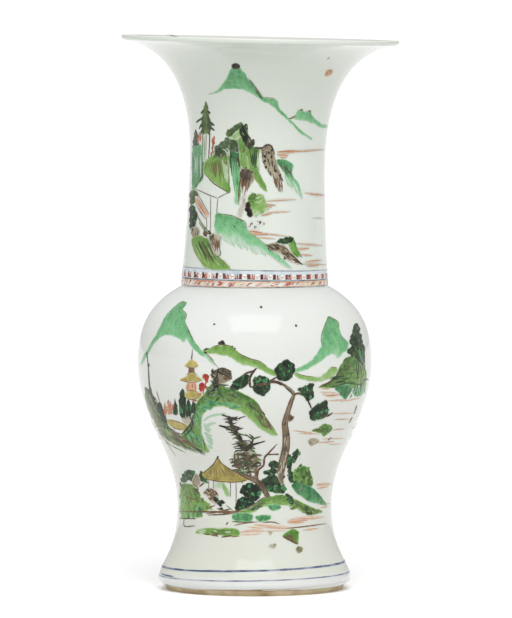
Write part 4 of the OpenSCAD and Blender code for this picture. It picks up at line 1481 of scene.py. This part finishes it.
def body_mound(brush):
    mound = [(238, 512, .7), (250, 508, .85), (261, 499, .9), (272, 496.4, .85), (286, 496, .9),
             (300, 502, .9), (313, 508, .8), (322, 512, .6), (309, 515, .6), (297, 509, .45),
             (286, 504.6, .5), (276, 506, .6), (262, 507, .45), (252, 513, .5)]
    behind = [[(241, 489), (249, 483.6), (259, 486), (260, 494), (256, 502), (250, 497), (243, 495)],
              [(237, 501), (243, 497.6), (251, 499), (255, 503), (246, 510), (236.4, 511)]]
    middle = [[(262, 481.4), (269, 475), (276, 476), (280, 484), (285.4, 488), (282, 493), (270, 491)],
              [(263, 473), (272, 469), (277, 471), (272, 475)],
              [(268, 465), (274, 461), (278, 463), (276, 468)]]
    upright = [[(290, 460), (294, 453), (298.6, 449.4), (298.4, 455), (295.6, 461), (292, 463)],
               [(287.6, 456), (291, 458), (291.6, 470), (296, 476), (294, 482), (288.6, 479)]]
    bush = [(293, 472, .9), (300, 467, .9), (305, 466.6, 1.0), (310, 472, 1.1), (313, 480, 1.1),
            (311, 487, 1.0), (303, 486, .8), (296, 482, .8)]
    tail = [(291.6, 485, 1.0), (297, 481, 1.1), (303, 485, .95), (309, 486, 1.0), (315, 490, 1.2),
            (320, 496, 1.1), (327, 505, .4), (318, 503.4, .5), (309, 501.6, .55), (302, 497, .6),
            (295, 491, .8)]
    for clump in behind:
        brush.begin(2)
        brush.foliage(clump, "dark_green", "bright_green", 1.25)
    for clump in middle:
        brush.begin(2)
        brush.foliage(clump, "dark_green", "bright_green", 0.9)
    for clump in upright:
        brush.foliage(clump, "dark_green", "bright_green", 0.85, 2.4)
    brush.fill("leaf_green", brush.leafy(bush))
    bush_top = [(299, 466), (307, 467), (313, 477), (312, 487), (306, 483), (302, 473)]
    brush.leaves("olive", bush_top, 14, 3.6, 1.0)
    brush.leaves("leaf_green", bush, 12, 3.2, 0.8)
    brush.leaves("dark_green", bush, 5, 2.6, 0.6)
    brush.fill("bright_green", tail)
    tail_shade = [(292, 483), (298, 481), (306, 488), (303, 493), (296, 490)]
    brush.leaves("dark_green", tail_shade, 7, 3.4, 0.6)
    brush.leaves("bright_green", tail, 8, 4.4, 0.95)
    brush.fill("leaf_green", mound)
    brush.hatch("olive", mound, 18, 8, 20, 1.8, 0.75)
    left_shade = [(246, 511), (264, 498), (274, 498), (258, 509)]
    brush.hatch("dark_green", left_shade, 8, 7, 35, 1.4, 0.6)
    right_slope = [(286, 497), (300, 503), (318, 511), (306, 511)]
    brush.hatch("olive", right_slope, 12, 7, -25, 1.9, 0.85)
    hollow = [(268, 506), (273, 504), (281, 506), (278, 509.6), (271, 510)]
    brush.fill("blue_green", hollow, 0.85)
    small_bush = [(286.6, 494), (291, 496), (294, 501), (291, 504), (288, 501)]
    brush.foliage(small_bush, "dark_green", "bright_green", 0.85)
    tuft = [(303, 504), (309, 506), (309, 510), (304, 509)]
    brush.leaves("dark_green", tuft, 3, 3.2, 0.65)
    pebbles = [(309, 513.6), (311, 513), (307, 513)]
    brush.dots("dark_green", pebbles, 3.2, 0.7)
    left_edge = [(237, 511.4), (252.4, 505.4), (262, 498.4), (268, 496.6)]
    brush.line("black", left_edge, 1.0, 0.55)


def body_foreground(brush):
    grass = [(195.6, 532.4, .6), (204, 528.4, .6), (218, 528.6, .75), (232, 528, .7), (239, 531, .7),
             (238, 536, .7), (222, 535, .8), (206, 534, .6)]
    shore = [[(179, 511.4), (200, 511.8), (222, 511.6), (246, 511.6)],
             [(206, 513.6), (218, 512), (230, 508.6)], [(208, 515), (222, 514.4), (238, 512.6)],
             [(232, 521.6), (243, 522), (253, 521.6)], [(226, 525), (228, 522)]]
    brush.lines("brown", shore, 1.2, 0.75)
    left_stone = [(233, 514.4), (242, 512.8), (252, 514.6), (251.6, 520), (244, 521.4), (233.6, 519.6)]
    brush.fill("blue_green", left_stone, 0.85)
    right_stone = [(255.6, 517), (261, 515), (270.6, 516), (268, 520.4), (259, 521)]
    brush.fill("blue_green", right_stone, 0.9)
    brush.fill("leaf_green", grass)
    grass_shade = [(206, 530), (228, 530), (228, 536), (208, 535)]
    brush.hatch("olive", grass_shade, 8, 9, -3, 1.4, 0.85)
    grass_foot = [(206, 533), (236, 535), (236, 537), (208, 536)]
    brush.hatch("brown", grass_foot, 5, 10, -3, 1.1, 0.8)
    brush.hatch("leaf_green", grass, 5, 7, 0, 1.4, 0.4)
    jetty = [[(184.4, 516), (184.6, 526), (195, 525.8)], [(180, 518.4), (196, 518.6)]]
    brush.lines("black", jetty, 0.8, 0.6, 0.1)
    boat = [(282.4, 536.4), (291.6, 529.4), (298, 531.4), (298.4, 538), (297.6, 544.4), (291, 540)]
    brush.fill("leaf_green", boat, 0.85)
    boat_edges = [[(282.6, 536.6), (290, 539.8), (297.4, 544.2)], [(286, 537), (290, 536), (293, 540)]]
    brush.lines("brown", boat_edges, 2.0, 0.85)
    right_rock = [(295.6, 549.4), (299, 546.4), (302.4, 547.6), (302, 551.6), (298, 552.6)]
    brush.fill("aubergine", right_rock, 0.75)
    middle_rock = [(269, 546), (273, 543.4), (276.4, 543.6), (275, 547.4), (272, 548.4)]
    brush.fill("aubergine", middle_rock, 0.5)
    small_rock = [(268.6, 532), (270.6, 530.4), (272.6, 532), (270.8, 535.2)]
    brush.fill("aubergine", small_rock, 0.5)
    moss = [(298, 548.6), (300.6, 550.6), (274.6, 545)]
    brush.dots("olive", moss, 2.0, 0.8)
    ripples = [[(234, 525.4), (246, 523), (258, 521.8)], [(262, 522.6), (272, 522), (280, 524)],
               [(286, 528.4), (304, 526.6), (326, 523.6)]]
    brush.lines("brown", ripples, 0.9, 0.65)


def body_islet(brush):
    grass = [(312, 431), (317, 428.4), (321, 425.6), (326, 423.8), (331, 426), (332.6, 428.6), (329.6, 432),
             (324, 436), (320, 433)]
    brush.fill("leaf_green", grass, 0.85)
    tuft = [(318, 429), (326, 425), (331, 428), (324, 434)]
    brush.leaves("olive", tuft, 14, 1.5, 0.95)
    edge = [(311.6, 431), (317, 429.6), (323, 430.6)]
    brush.line("brown", edge, 1.1, 0.85)
    rock = [(308, 442), (311, 438.6), (316, 438.4), (319.4, 440.6), (316, 444), (311, 446)]
    brush.fill("aubergine", rock, 0.5)
    pebbles = [(310.6, 442.6), (314, 440), (330.6, 438), (328.6, 439.4)]
    brush.dots("brown", pebbles, 1.9, 0.85)


def body_water(brush):
    soft_waves = [[(289, 520), (305, 518), (324, 517)], [(254, 525), (272, 527), (292, 528)],
                  [(240, 533), (252, 531), (264, 531)], [(317, 486), (324, 485), (332, 484)],
                  [(322, 394), (332, 395), (342, 394)]]
    brush.lines("iron_red", soft_waves, 3.4, 0.32)
    waves = [(322, 388.6, 332, 387.6, 1.6), (320, 392, 336, 392.4, 0.7), (325, 395.6, 339, 394.6, 1.8),
             (328, 400.6, 346, 399.6, 0.9), (340, 401.6, 360, 398, 0.9), (331, 413.8, 356, 413, 0.8),
             (334, 419.6, 350, 419.4, 0.8), (293, 430.4, 312, 432.6, 0.8), (298, 433.6, 320, 434, 0.6),
             (333, 430, 345, 429, 0.9), (322, 439, 345, 438.6, 0.8), (318, 442.6, 334, 441.6, 1.1),
             (328, 444.6, 343, 444, 0.6), (316, 484.6, 330, 483.8, 1.8), (317, 488.6, 328, 486.6, 1.3),
             (318, 504.6, 330, 503.6, 1.1), (320, 507.6, 329, 506.6, 0.9), (287, 521.6, 308, 520, 2.0),
             (292, 519.4, 321, 518, 1.0), (288, 523, 304, 522.4, 1.3), (254, 524.6, 276, 526.6, 1.4),
             (262, 527, 290, 528.6, 1.0), (247, 527, 264, 529, 0.8), (238, 532.4, 257, 530.6, 1.2),
             (240, 535, 262, 533.6, 0.7), (303, 530.4, 318, 528.4, 1.3), (256, 531.4, 286, 531, 0.6)]
    brush.water(waves, 0.85)


def paint_body(brush):
    motifs = [(body_left_peak, 0), (body_middle_ridge, 0), (body_right_peak, 0), (body_right_hill, 8),
              (body_left_shore, 0), (body_cliff, 12), (body_pagoda, 30), (body_left_trees, 30),
              (body_mound, 0), (body_left_shrub, 0), (body_pavilion, 30), (body_bare_tree, 44),
              (body_pine, 44), (body_islet, 0), (body_foreground, 30), (body_water, 0)]
    for motif, layer in motifs:
        brush.begin(layer)
        motif(brush)


# Lines and borders that run round the vase


def uneven_round(seed, count, waves=5, fastest=7, peak=1.6):
    """A smooth wobble of about -1 to 1 that closes on itself after one round."""
    chance = random.Random(seed)
    turns = np.linspace(-math.pi, math.pi, count)
    wobble = np.zeros(count)
    for k in range(1, waves + 1):
        pace = k * chance.randint(1, fastest)
        wobble += math.sqrt(2 / waves) * np.sin(pace * turns + chance.uniform(0, 6.3))
    return turns, wobble / peak


def round_band(pigment, layer, low, high, wash, unevenness=0.0, wave=0.0, seed=1, slope=0.0):
    """A ring of paint between two heights, of uneven strength, with a wavy top. It may rise to the right."""
    turns, wobble = uneven_round(seed, SEGMENTS + 1)
    _, wavy = uneven_round(seed + 1, SEGMENTS + 1)
    rise = math.tan(math.radians(slope)) * pigment.wall.radius(low) * np.sin(turns)
    foot = pigment.wall.heights[0]
    rows = [np.c_[turns, np.maximum(edge, foot)] for edge in (low + rise, high + rise + wave * wavy)]
    count = len(turns)
    faces = [(i, i + 1, count + i + 1, count + i) for i in range(count - 1)]
    strength = np.clip(wash * (1 + unevenness * wobble), *BAND_WASHES)
    pigment.add(np.vstack(rows), faces, np.r_[strength, strength], layer)


def patch(pigment, layer, turn, low, high, wide, wash, slant=0.0, columns=4):
    """A small upright block of paint, wide in mm, its top pushed aside by a slant in mm."""
    radius = pigment.wall.radius((low + high) / 2)
    across = np.linspace(-wide / 2, wide / 2, columns)
    foot = np.c_[turn + across / radius, np.full(columns, low)]
    top = np.c_[turn + (across + slant) / radius, np.full(columns, high)]
    faces = [(i, i + 1, columns + i + 1, columns + i) for i in range(columns - 1)]
    pigment.add(np.vstack([foot, top]), faces, wash, layer)


def disc(pigment, layer, turn, height, size, wash, tall=1.0, corners=12):
    """A small round of paint, size in mm across."""
    radius = pigment.wall.radius(height)
    angles = np.linspace(0, 2 * math.pi, corners, endpoint=False)
    ring = np.c_[turn + 0.5 * size * np.cos(angles) / radius, height + 0.5 * size * tall * np.sin(angles)]
    faces = [(0, 1 + i, 1 + (i + 1) % corners) for i in range(corners)]
    pigment.add(np.vstack([[turn, height], ring]), faces, wash, layer)


def border_block(paints, turn, chance):
    """A red block with a dark side and pale slanting touches."""
    low, high = BORDER_BLOCK_FOOT, BORDER_STRIP_FOOT
    radius = paints["border_red"].wall.radius(low)
    wide = BORDER_BLOCK + chance.uniform(*BORDER_BLOCK_CHANGE)
    patch(paints["border_red"], 3, turn, low, high, wide, chance.uniform(0.75, 1.05))
    side = chance.choice((-1, 1))
    shade = turn + side * BORDER_DARK_ASIDE * wide / radius
    tone = chance.uniform(0.6, 1.0)
    slant = chance.uniform(-0.5, 0.5)
    patch(paints["border_dark"], 4, shade, low, high, BORDER_DARK_SIDE * wide, tone, slant)
    light = turn - side * BORDER_LIGHT_ASIDE * wide / radius
    thin = chance.uniform(0.5, 1.3)
    low, high = low + BORDER_LIGHT_GAP, high - BORDER_LIGHT_GAP
    patch(paints["border_salmon"], 5, light, low, high, thin, 0.8, -side * BORDER_LIGHT_SLANT)


def border_floret(paints, turn, chance):
    """A cream floret with a few orange petals and a dark heart."""
    middle = (BORDER_STRIP_FOOT + BORDER_BLOCK_FOOT) / 2
    radius = paints["border_white"].wall.radius(middle)
    disc(paints["border_white"], 4, turn, middle, BORDER_FLORET, 1.0, BORDER_FLORET_TALL)
    for k in range(BORDER_PETALS):
        angle = 2 * math.pi * k / BORDER_PETALS + chance.uniform(0, 1)
        across = turn + BORDER_PETAL_ASIDE * math.cos(angle) / radius
        up = middle + BORDER_PETAL_UP * math.sin(angle)
        disc(paints["border_salmon"], 5, across, up, BORDER_PETAL, chance.uniform(0.4, 0.9))
    heart = middle - BORDER_HEART_DROP
    disc(paints["border_grey"], 6, turn, heart, BORDER_HEART, chance.uniform(0.4, 0.8))


def paint_border(paints):
    """Two bands between thin lines round the foot of the neck."""
    chance = random.Random(5)
    blue, grey, salmon = paints["border_blue"], paints["border_grey"], paints["border_salmon"]
    round_band(blue, 1, BORDER_MIDDLE_LINE, BORDER_TOP_LINE, 0.55, 0.25, seed=21)
    low, high = BORDER_TOP_LINE - BORDER_TOP_LINE_BELOW, BORDER_TOP_LINE + BORDER_LINE_HALF
    round_band(grey, 2, low, high, 0.6, 0.3, 0.1, seed=22)
    for i in range(BORDER_UNITS):
        turn = 2 * math.pi * (i + BORDER_START) / BORDER_UNITS
        border_block(paints, turn, chance)
        border_floret(paints, turn + math.pi / BORDER_UNITS, chance)
    round_band(grey, 2, BORDER_SCROLL_TOP, BORDER_MIDDLE_LINE, 0.85, 0.25, 0.1, seed=24)
    round_band(salmon, 1, BORDER_SCROLL_FOOT, BORDER_SCROLL_TOP, 0.7, 0.3, seed=25)
    paint_scroll(paints, chance)
    low, high = BORDER_FOOT_LINE - BORDER_LINE_HALF, BORDER_FOOT_LINE + BORDER_LINE_HALF
    round_band(grey, 6, low, high, 0.75, 0.35, 0.1, seed=26)


def paint_scroll(paints, chance):
    """Slanting touches and a row of dark red knots in the lower band of the border."""
    tones = ("border_salmon", "border_white", "border_red", "border_red", "border_yellow")
    near, far = BORDER_TOUCH_ENDS
    for i in range(BORDER_TOUCHES * BORDER_UNITS):
        turn = 2 / BORDER_TOUCHES * math.pi * (i + chance.random()) / BORDER_UNITS
        paint = chance.choice(tones)
        low = chance.uniform(BORDER_SCROLL_FOOT + near, BORDER_SCROLL_FOOT + far)
        high = chance.uniform(BORDER_SCROLL_TOP - far, BORDER_SCROLL_TOP - near)
        wide = chance.uniform(*BORDER_TOUCH_WIDTHS)
        wash = chance.uniform(0.35, 0.75)
        patch(paints[paint], 2 + i % 3, turn, low, high, wide, wash, chance.uniform(*BORDER_TOUCH_SLANTS))
    middle = (BORDER_SCROLL_FOOT + BORDER_SCROLL_TOP) / 2
    low, high = middle - BORDER_KNOT_BELOW, middle + BORDER_KNOT_ABOVE
    for i in range(BORDER_KNOTS):
        turn = 2 * math.pi * (i + chance.uniform(0.2, 0.8)) / BORDER_KNOTS
        wide = chance.uniform(*BORDER_KNOT_WIDTHS)
        wash = chance.uniform(0.5, 0.85)
        patch(paints["border_red"], 5, turn, low, high, wide, wash, BORDER_KNOT_SLANT)


def paint_foot(paints):
    """Two blue lines, which rise to the right, and the burnt, dirty edge where the glaze ends."""
    blue, brown = paints["underglaze_blue"], paints["foot_brown"]
    low, high = FOOT_UPPER_LINE - FOOT_UPPER_HALF, FOOT_UPPER_LINE + FOOT_UPPER_HALF
    round_band(blue, 1, low, high, 0.85, 0.25, 0.15, seed=31, slope=FOOT_UPPER_SLOPE)
    low, high = FOOT_LOWER_LINE - FOOT_LOWER_HALF, FOOT_LOWER_LINE + FOOT_LOWER_HALF
    round_band(blue, 1, low, high, 0.65, 0.4, 0.15, seed=32, slope=FOOT_LOWER_SLOPE)
    low, high = BODY.heights[0] - FOOT_DIRT_BELOW, BODY.heights[0] + FOOT_DIRT_ABOVE
    round_band(brown, 1, low, high, 0.6, 0.35, 0.4, seed=33, slope=FOOT_DIRT_SLOPE)


def paint_flaws(neck, body):
    """Specks and a red spot on the neck, pits on the shoulder and a smear of blue at the foot."""
    specks = [("black", 177, 78, 1.2), ("aubergine", 328.4, 58.3, 2.4)]
    for paint, x, y, size in specks:
        neck.touch(paint, x, y, size, 0.6)
    spot = [(324.8, 75.4), (325.2, 71.8), (328.6, 69.4), (332, 69.6), (332, 72.8), (329.4, 75.8),
            (326.4, 76.4)]
    neck.fill("iron_red", spot, 0.6)
    spot_marks = [(327, 73.4), (330.4, 70.8)]
    neck.dots("brown", spot_marks, 1.6, 0.6)
    smear = [(161, 573.4), (166, 575.2), (174, 576.6)]
    body.line("underglaze_blue", smear, 1.3, 1.0)
    pits = [(261, 307), (214.2, 324.2), (296, 325.6)]
    for x, y in pits:
        body.touch("black", x, y, 2.2, 0.55)
        body.touch("black", x, y, 1.0, 0.9)


# Pieces


def mix_paints(wall, prefix, palette):
    """One pigment for each enamel on a wall."""
    return {name: Pigment(f"{prefix}_{name}", wall, material) for name, material in palette.items()}


def make_palette():
    """The enamels, each as its colour in a thin and in a thick wash."""
    colours = {
        "blue_green": ((110, 164, 118), (42, 98, 56)),
        "leaf_green": ((118, 152, 82), (52, 92, 34)),
        "bright_green": ((88, 142, 94), (34, 94, 52)),
        "olive": ((96, 116, 66), (42, 58, 26)),
        "dark_green": ((56, 78, 48), (14, 28, 17)),
        "yellow": ((176, 163, 98), (122, 110, 54)),
        "aubergine": ((146, 138, 116), (68, 58, 44)),
        "iron_red": ((178, 140, 106), (138, 68, 42)),
        "deep_red": ((176, 84, 62), (132, 34, 25)),
        "brown": ((118, 94, 70), (54, 38, 28)),
        "black": ((84, 76, 64), (20, 17, 14)),
        "border_blue": ((188, 196, 200), (140, 156, 170)),
        "border_salmon": ((200, 178, 160), (172, 124, 100)),
        "border_yellow": ((206, 190, 150), (190, 168, 112)),
        "border_grey": ((146, 153, 157), (74, 84, 88)),
        "border_white": ((205, 204, 198), (214, 212, 206)),
        "border_red": ((168, 98, 82), (126, 48, 37)),
        "border_dark": ((112, 76, 64), (76, 38, 32)),
        "underglaze_blue": ((140, 148, 162), (70, 80, 108)),
        "foot_brown": ((160, 136, 106), (84, 60, 42)),
    }
    palette = {}
    for name, (pale, deep) in colours.items():
        palette[name] = enamel_material(f"{name}_enamel", linear(*pale), linear(*deep))
    return palette


def paint_vase():
    """The front after the photograph, the same landscape again on the back, and islets at the sides."""
    palette = make_palette()
    neck = mix_paints(NECK, "neck", palette)
    body = mix_paints(BODY, "body", palette)
    for turn, seed in LANDSCAPES:
        paint_neck(Brush(NECK, neck, turn, seed))
        paint_body(Brush(BODY, body, turn, seed))
    for turn in ISLET_TURNS:
        brush = Brush(BODY, body, turn, turn)
        body_islet(brush)
        brush.water(ISLET_WATER, 0.75)
    paint_border(neck)
    paint_foot(body)
    paint_flaws(Brush(NECK, neck), Brush(BODY, body))
    for pigment in [*neck.values(), *body.values()]:
        pigment.build()


def turned_skin(name, outline, wall, material):
    """A closed round of rings along an outline, leaning as the wall leans."""
    turns = np.linspace(0, 2 * math.pi, SEGMENTS, endpoint=False)
    rings = []
    for radius, height in outline:
        ring = np.c_[radius * np.sin(turns), -radius * np.cos(turns), np.full(SEGMENTS, height)]
        rings.append(wall.leaned(ring))
    faces = []
    for i in range(len(outline) - 1):
        for j in range(SEGMENTS):
            k = (j + 1) % SEGMENTS
            low, high = i * SEGMENTS, (i + 1) * SEGMENTS
            faces.append((low + j, low + k, high + k, high + j))
    return new_piece(name, np.vstack(rings) * MM, faces, material)


def raised_crest(outline, deep, lift):
    """The top of an outline down to a depth, moved off its surface by a lift, in mm."""
    crest = outline[outline[:, 1] > outline[:, 1].max() - deep]
    way = np.gradient(crest, axis=0)
    way /= np.linalg.norm(way, axis=1)[:, None]
    return crest + lift * np.c_[way[:, 1], -way[:, 0]]


def wear_lip(crest):
    """The worn edge of the lip, which fades out to both sides."""
    edge = enamel_material("worn_lip_edge", linear(204, 203, 192), linear(192, 184, 164))
    lip = turned_skin("lip_edge", crest, NECK, edge)
    _, wobble = uneven_round(41, SEGMENTS)
    across = np.clip(1 - np.abs(np.linspace(-LIP_EDGE_FADE, LIP_EDGE_FADE, len(crest))), 0, 1)
    set_wash(lip, (across[:, None] * (LIP_EDGE_WASH + LIP_EDGE_UNEVEN * wobble[None])).ravel())
    return lip


def chip_lip(crest):
    """A small dark chip across the lip, at the back on the left."""
    share = np.linspace(-1, 1, LIP_CHIP_COLUMNS)
    turns = math.radians(LIP_CHIP_TURN) + 0.5 * share * LIP_CHIP_WIDE / crest[:, 0].max()
    points = []
    for turn in turns:
        for radius, height in crest:
            points.append((radius * math.sin(turn), -radius * math.cos(turn), height))
    count = len(crest)
    faces = []
    for i in range(len(turns) - 1):
        for k in range(i * count, (i + 1) * count - 1):
            faces.append((k, k + 1, k + count + 1, k + count))
    clay = enamel_material("chipped_clay", linear(150, 142, 130), linear(78, 70, 60))
    chip = new_piece("lip_chip", NECK.leaned(np.array(points)) * MM, faces, clay)
    set_wash(chip, np.repeat(1.0 - share ** 2, count))
    return chip


def make_skins(neck_glaze, body_glaze):
    """Finer skins in place of the two outer glaze coats, and the worn edge and the chip of the lip."""
    outline = smooth(without_doubles(NECK_OUTLINE), per_span=SKIN_STEPS)
    neck = turned_skin("neck_glaze_skin", outline, NECK, neck_glaze)
    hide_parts("neck_glaze")
    body = turned_skin("body_glaze_skin", BODY.curve, BODY, body_glaze)
    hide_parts("body_glaze")
    lip = wear_lip(raised_crest(outline, LIP_EDGE, LIP_EDGE_LIFT))
    chip = chip_lip(raised_crest(outline, LIP_CHIP_DEEP, LIP_CHIP_LIFT))


def dress_nodes(glaze, bare, slip):
    """Materials for the nodes that show as they come from the frame."""
    dresses = {
        bare: ["neck_section", "shoulder_section", "lower_body_section", "foot_section", "base_disc"],
        slip: ["neck_joint_slip", "belly_joint_slip", "waist_joint_slip", "base_joint_slip"],
        glaze: ["inner_glaze", "base_glaze"],
    }
    for material, names in dresses.items():
        for name in names:
            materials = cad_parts[name].data.materials
            materials.clear()
            materials.append(material)


# Studio


def aim(thing, place, target):
    """Puts a light or camera in its place and turns it to a target."""
    thing.location = place
    thing.rotation_euler = (Vector(target) - Vector(place)).to_track_quat("-Z", "Y").to_euler()


def add_light(name, kind, power, place, target):
    """A light of which only an area shows as a reflection."""
    data = bpy.data.lights.new(name, kind)
    data.energy = power
    light = bpy.data.objects.new(name, data)
    bpy.context.scene.collection.objects.link(light)
    aim(light, place, target)
    light.visible_glossy = kind == "AREA"
    return data


def make_world():
    """Soft light all round, a little weaker near the horizon."""
    world = bpy.data.worlds.new("studio")
    world.use_nodes = True
    nodes, links = world.node_tree.nodes, world.node_tree.links
    split = nodes.new("ShaderNodeSeparateXYZ")
    links.new(nodes.new("ShaderNodeTexCoord").outputs["Generated"], split.inputs["Vector"])
    low = (HORIZON_LIGHT, HORIZON_LIGHT, HORIZON_LIGHT, 1)
    high = (WORLD_LIGHT, WORLD_LIGHT, WORLD_LIGHT, 1)
    light = add_ramp(nodes, links, split.outputs["Z"], [(HORIZON_TOP, low), (WORLD_FROM, high)])
    links.new(light, nodes["Background"].inputs["Color"])
    bpy.context.scene.world = world


def make_floor():
    """A wide floor of white paper."""
    material, nodes, links, shader = new_material("studio_floor")
    paper = add_noise(nodes, links, scale=3, detail=3)
    colour = add_ramp(nodes, links, paper, [(0.3, linear(250, 250, 250)), (0.7, linear(253, 253, 253))])
    links.new(colour, shader.inputs["Base Color"])
    shader.inputs["Roughness"].default_value = 0.6
    shader.inputs["Emission Color"].default_value = (1, 1, 1, 1)
    shader.inputs["Emission Strength"].default_value = FLOOR_GLOW
    corners = [(x * FLOOR_HALF, y * FLOOR_HALF, 0) for x, y in ((-1, -1), (1, -1), (1, 1), (-1, 1))]
    mesh = bpy.data.meshes.new("floor")
    mesh.from_pydata(corners, [], [(0, 1, 2, 3)])
    mesh.materials.append(material)
    floor = bpy.data.objects.new("floor", mesh)
    bpy.context.scene.collection.objects.link(floor)


def make_lights():
    """A soft box that shows on the shoulder, and soft light from above and from the front."""
    box = add_light("soft_box", "AREA", SOFT_BOX_POWER, SOFT_BOX_PLACE, SOFT_BOX_AIM)
    box.shape = "RECTANGLE"
    box.size, box.size_y = SOFT_BOX_SIZE
    sky = add_light("sky", "SUN", SKY_LIGHT, SKY_PLACE, SKY_AIM)
    sky.angle = math.radians(SKY_SPREAD)
    key = add_light("key", "SUN", KEY_LIGHT, KEY_PLACE, KEY_AIM)
    key.angle = math.radians(KEY_SPREAD)


def make_camera():
    """The camera of the photograph. It shows colours as they are."""
    bpy.context.scene.view_settings.view_transform = "Standard"
    data = bpy.data.cameras.new("photo_camera")
    data.sensor_width = SENSOR
    data.lens = LENS
    data.clip_end = FARTHEST_VIEW
    camera = bpy.data.objects.new("photo_camera", data)
    bpy.context.scene.collection.objects.link(camera)
    place = Vector((AIM_X, -CAMERA_DISTANCE, CAMERA_HEIGHT)) * MM
    aim(camera, place, Vector((AIM_X, 0, AIM_HEIGHT)) * MM)
    bpy.context.scene.camera = camera


def main():
    body_rises = [(YELLOW_GLAZE_FROM, YELLOW_GLAZE_TO, CLOUD_SHARE), (WHITE_FOOT_FROM, WHITE_FOOT_TO, 1.0)]
    # The neck's glaze darkens towards the mouth: painted shade under the flare
    neck_rises = [(NECK_SHADE_FROM, NECK_SHADE_TO, CLOUD_SHARE)]
    glaze = glaze_material("celadon_white_glaze", GLAZE, LOWER_BODY_GLAZE, body_rises)
    neck_glaze = glaze_material("neck_white_glaze", NECK_GLAZE, LOW_NECK_GLAZE, neck_rises)
    bare = bare_clay_material("bare_porcelain", linear(200, 188, 158), linear(166, 146, 112),
                              linear(118, 96, 68))
    slip = bare_clay_material("fired_slip", linear(214, 204, 184), linear(190, 174, 150),
                              linear(150, 132, 110))
    make_skins(neck_glaze, glaze)
    dress_nodes(glaze, bare, slip)
    paint_vase()
    make_world()
    make_floor()
    make_lights()
    make_camera()


main()
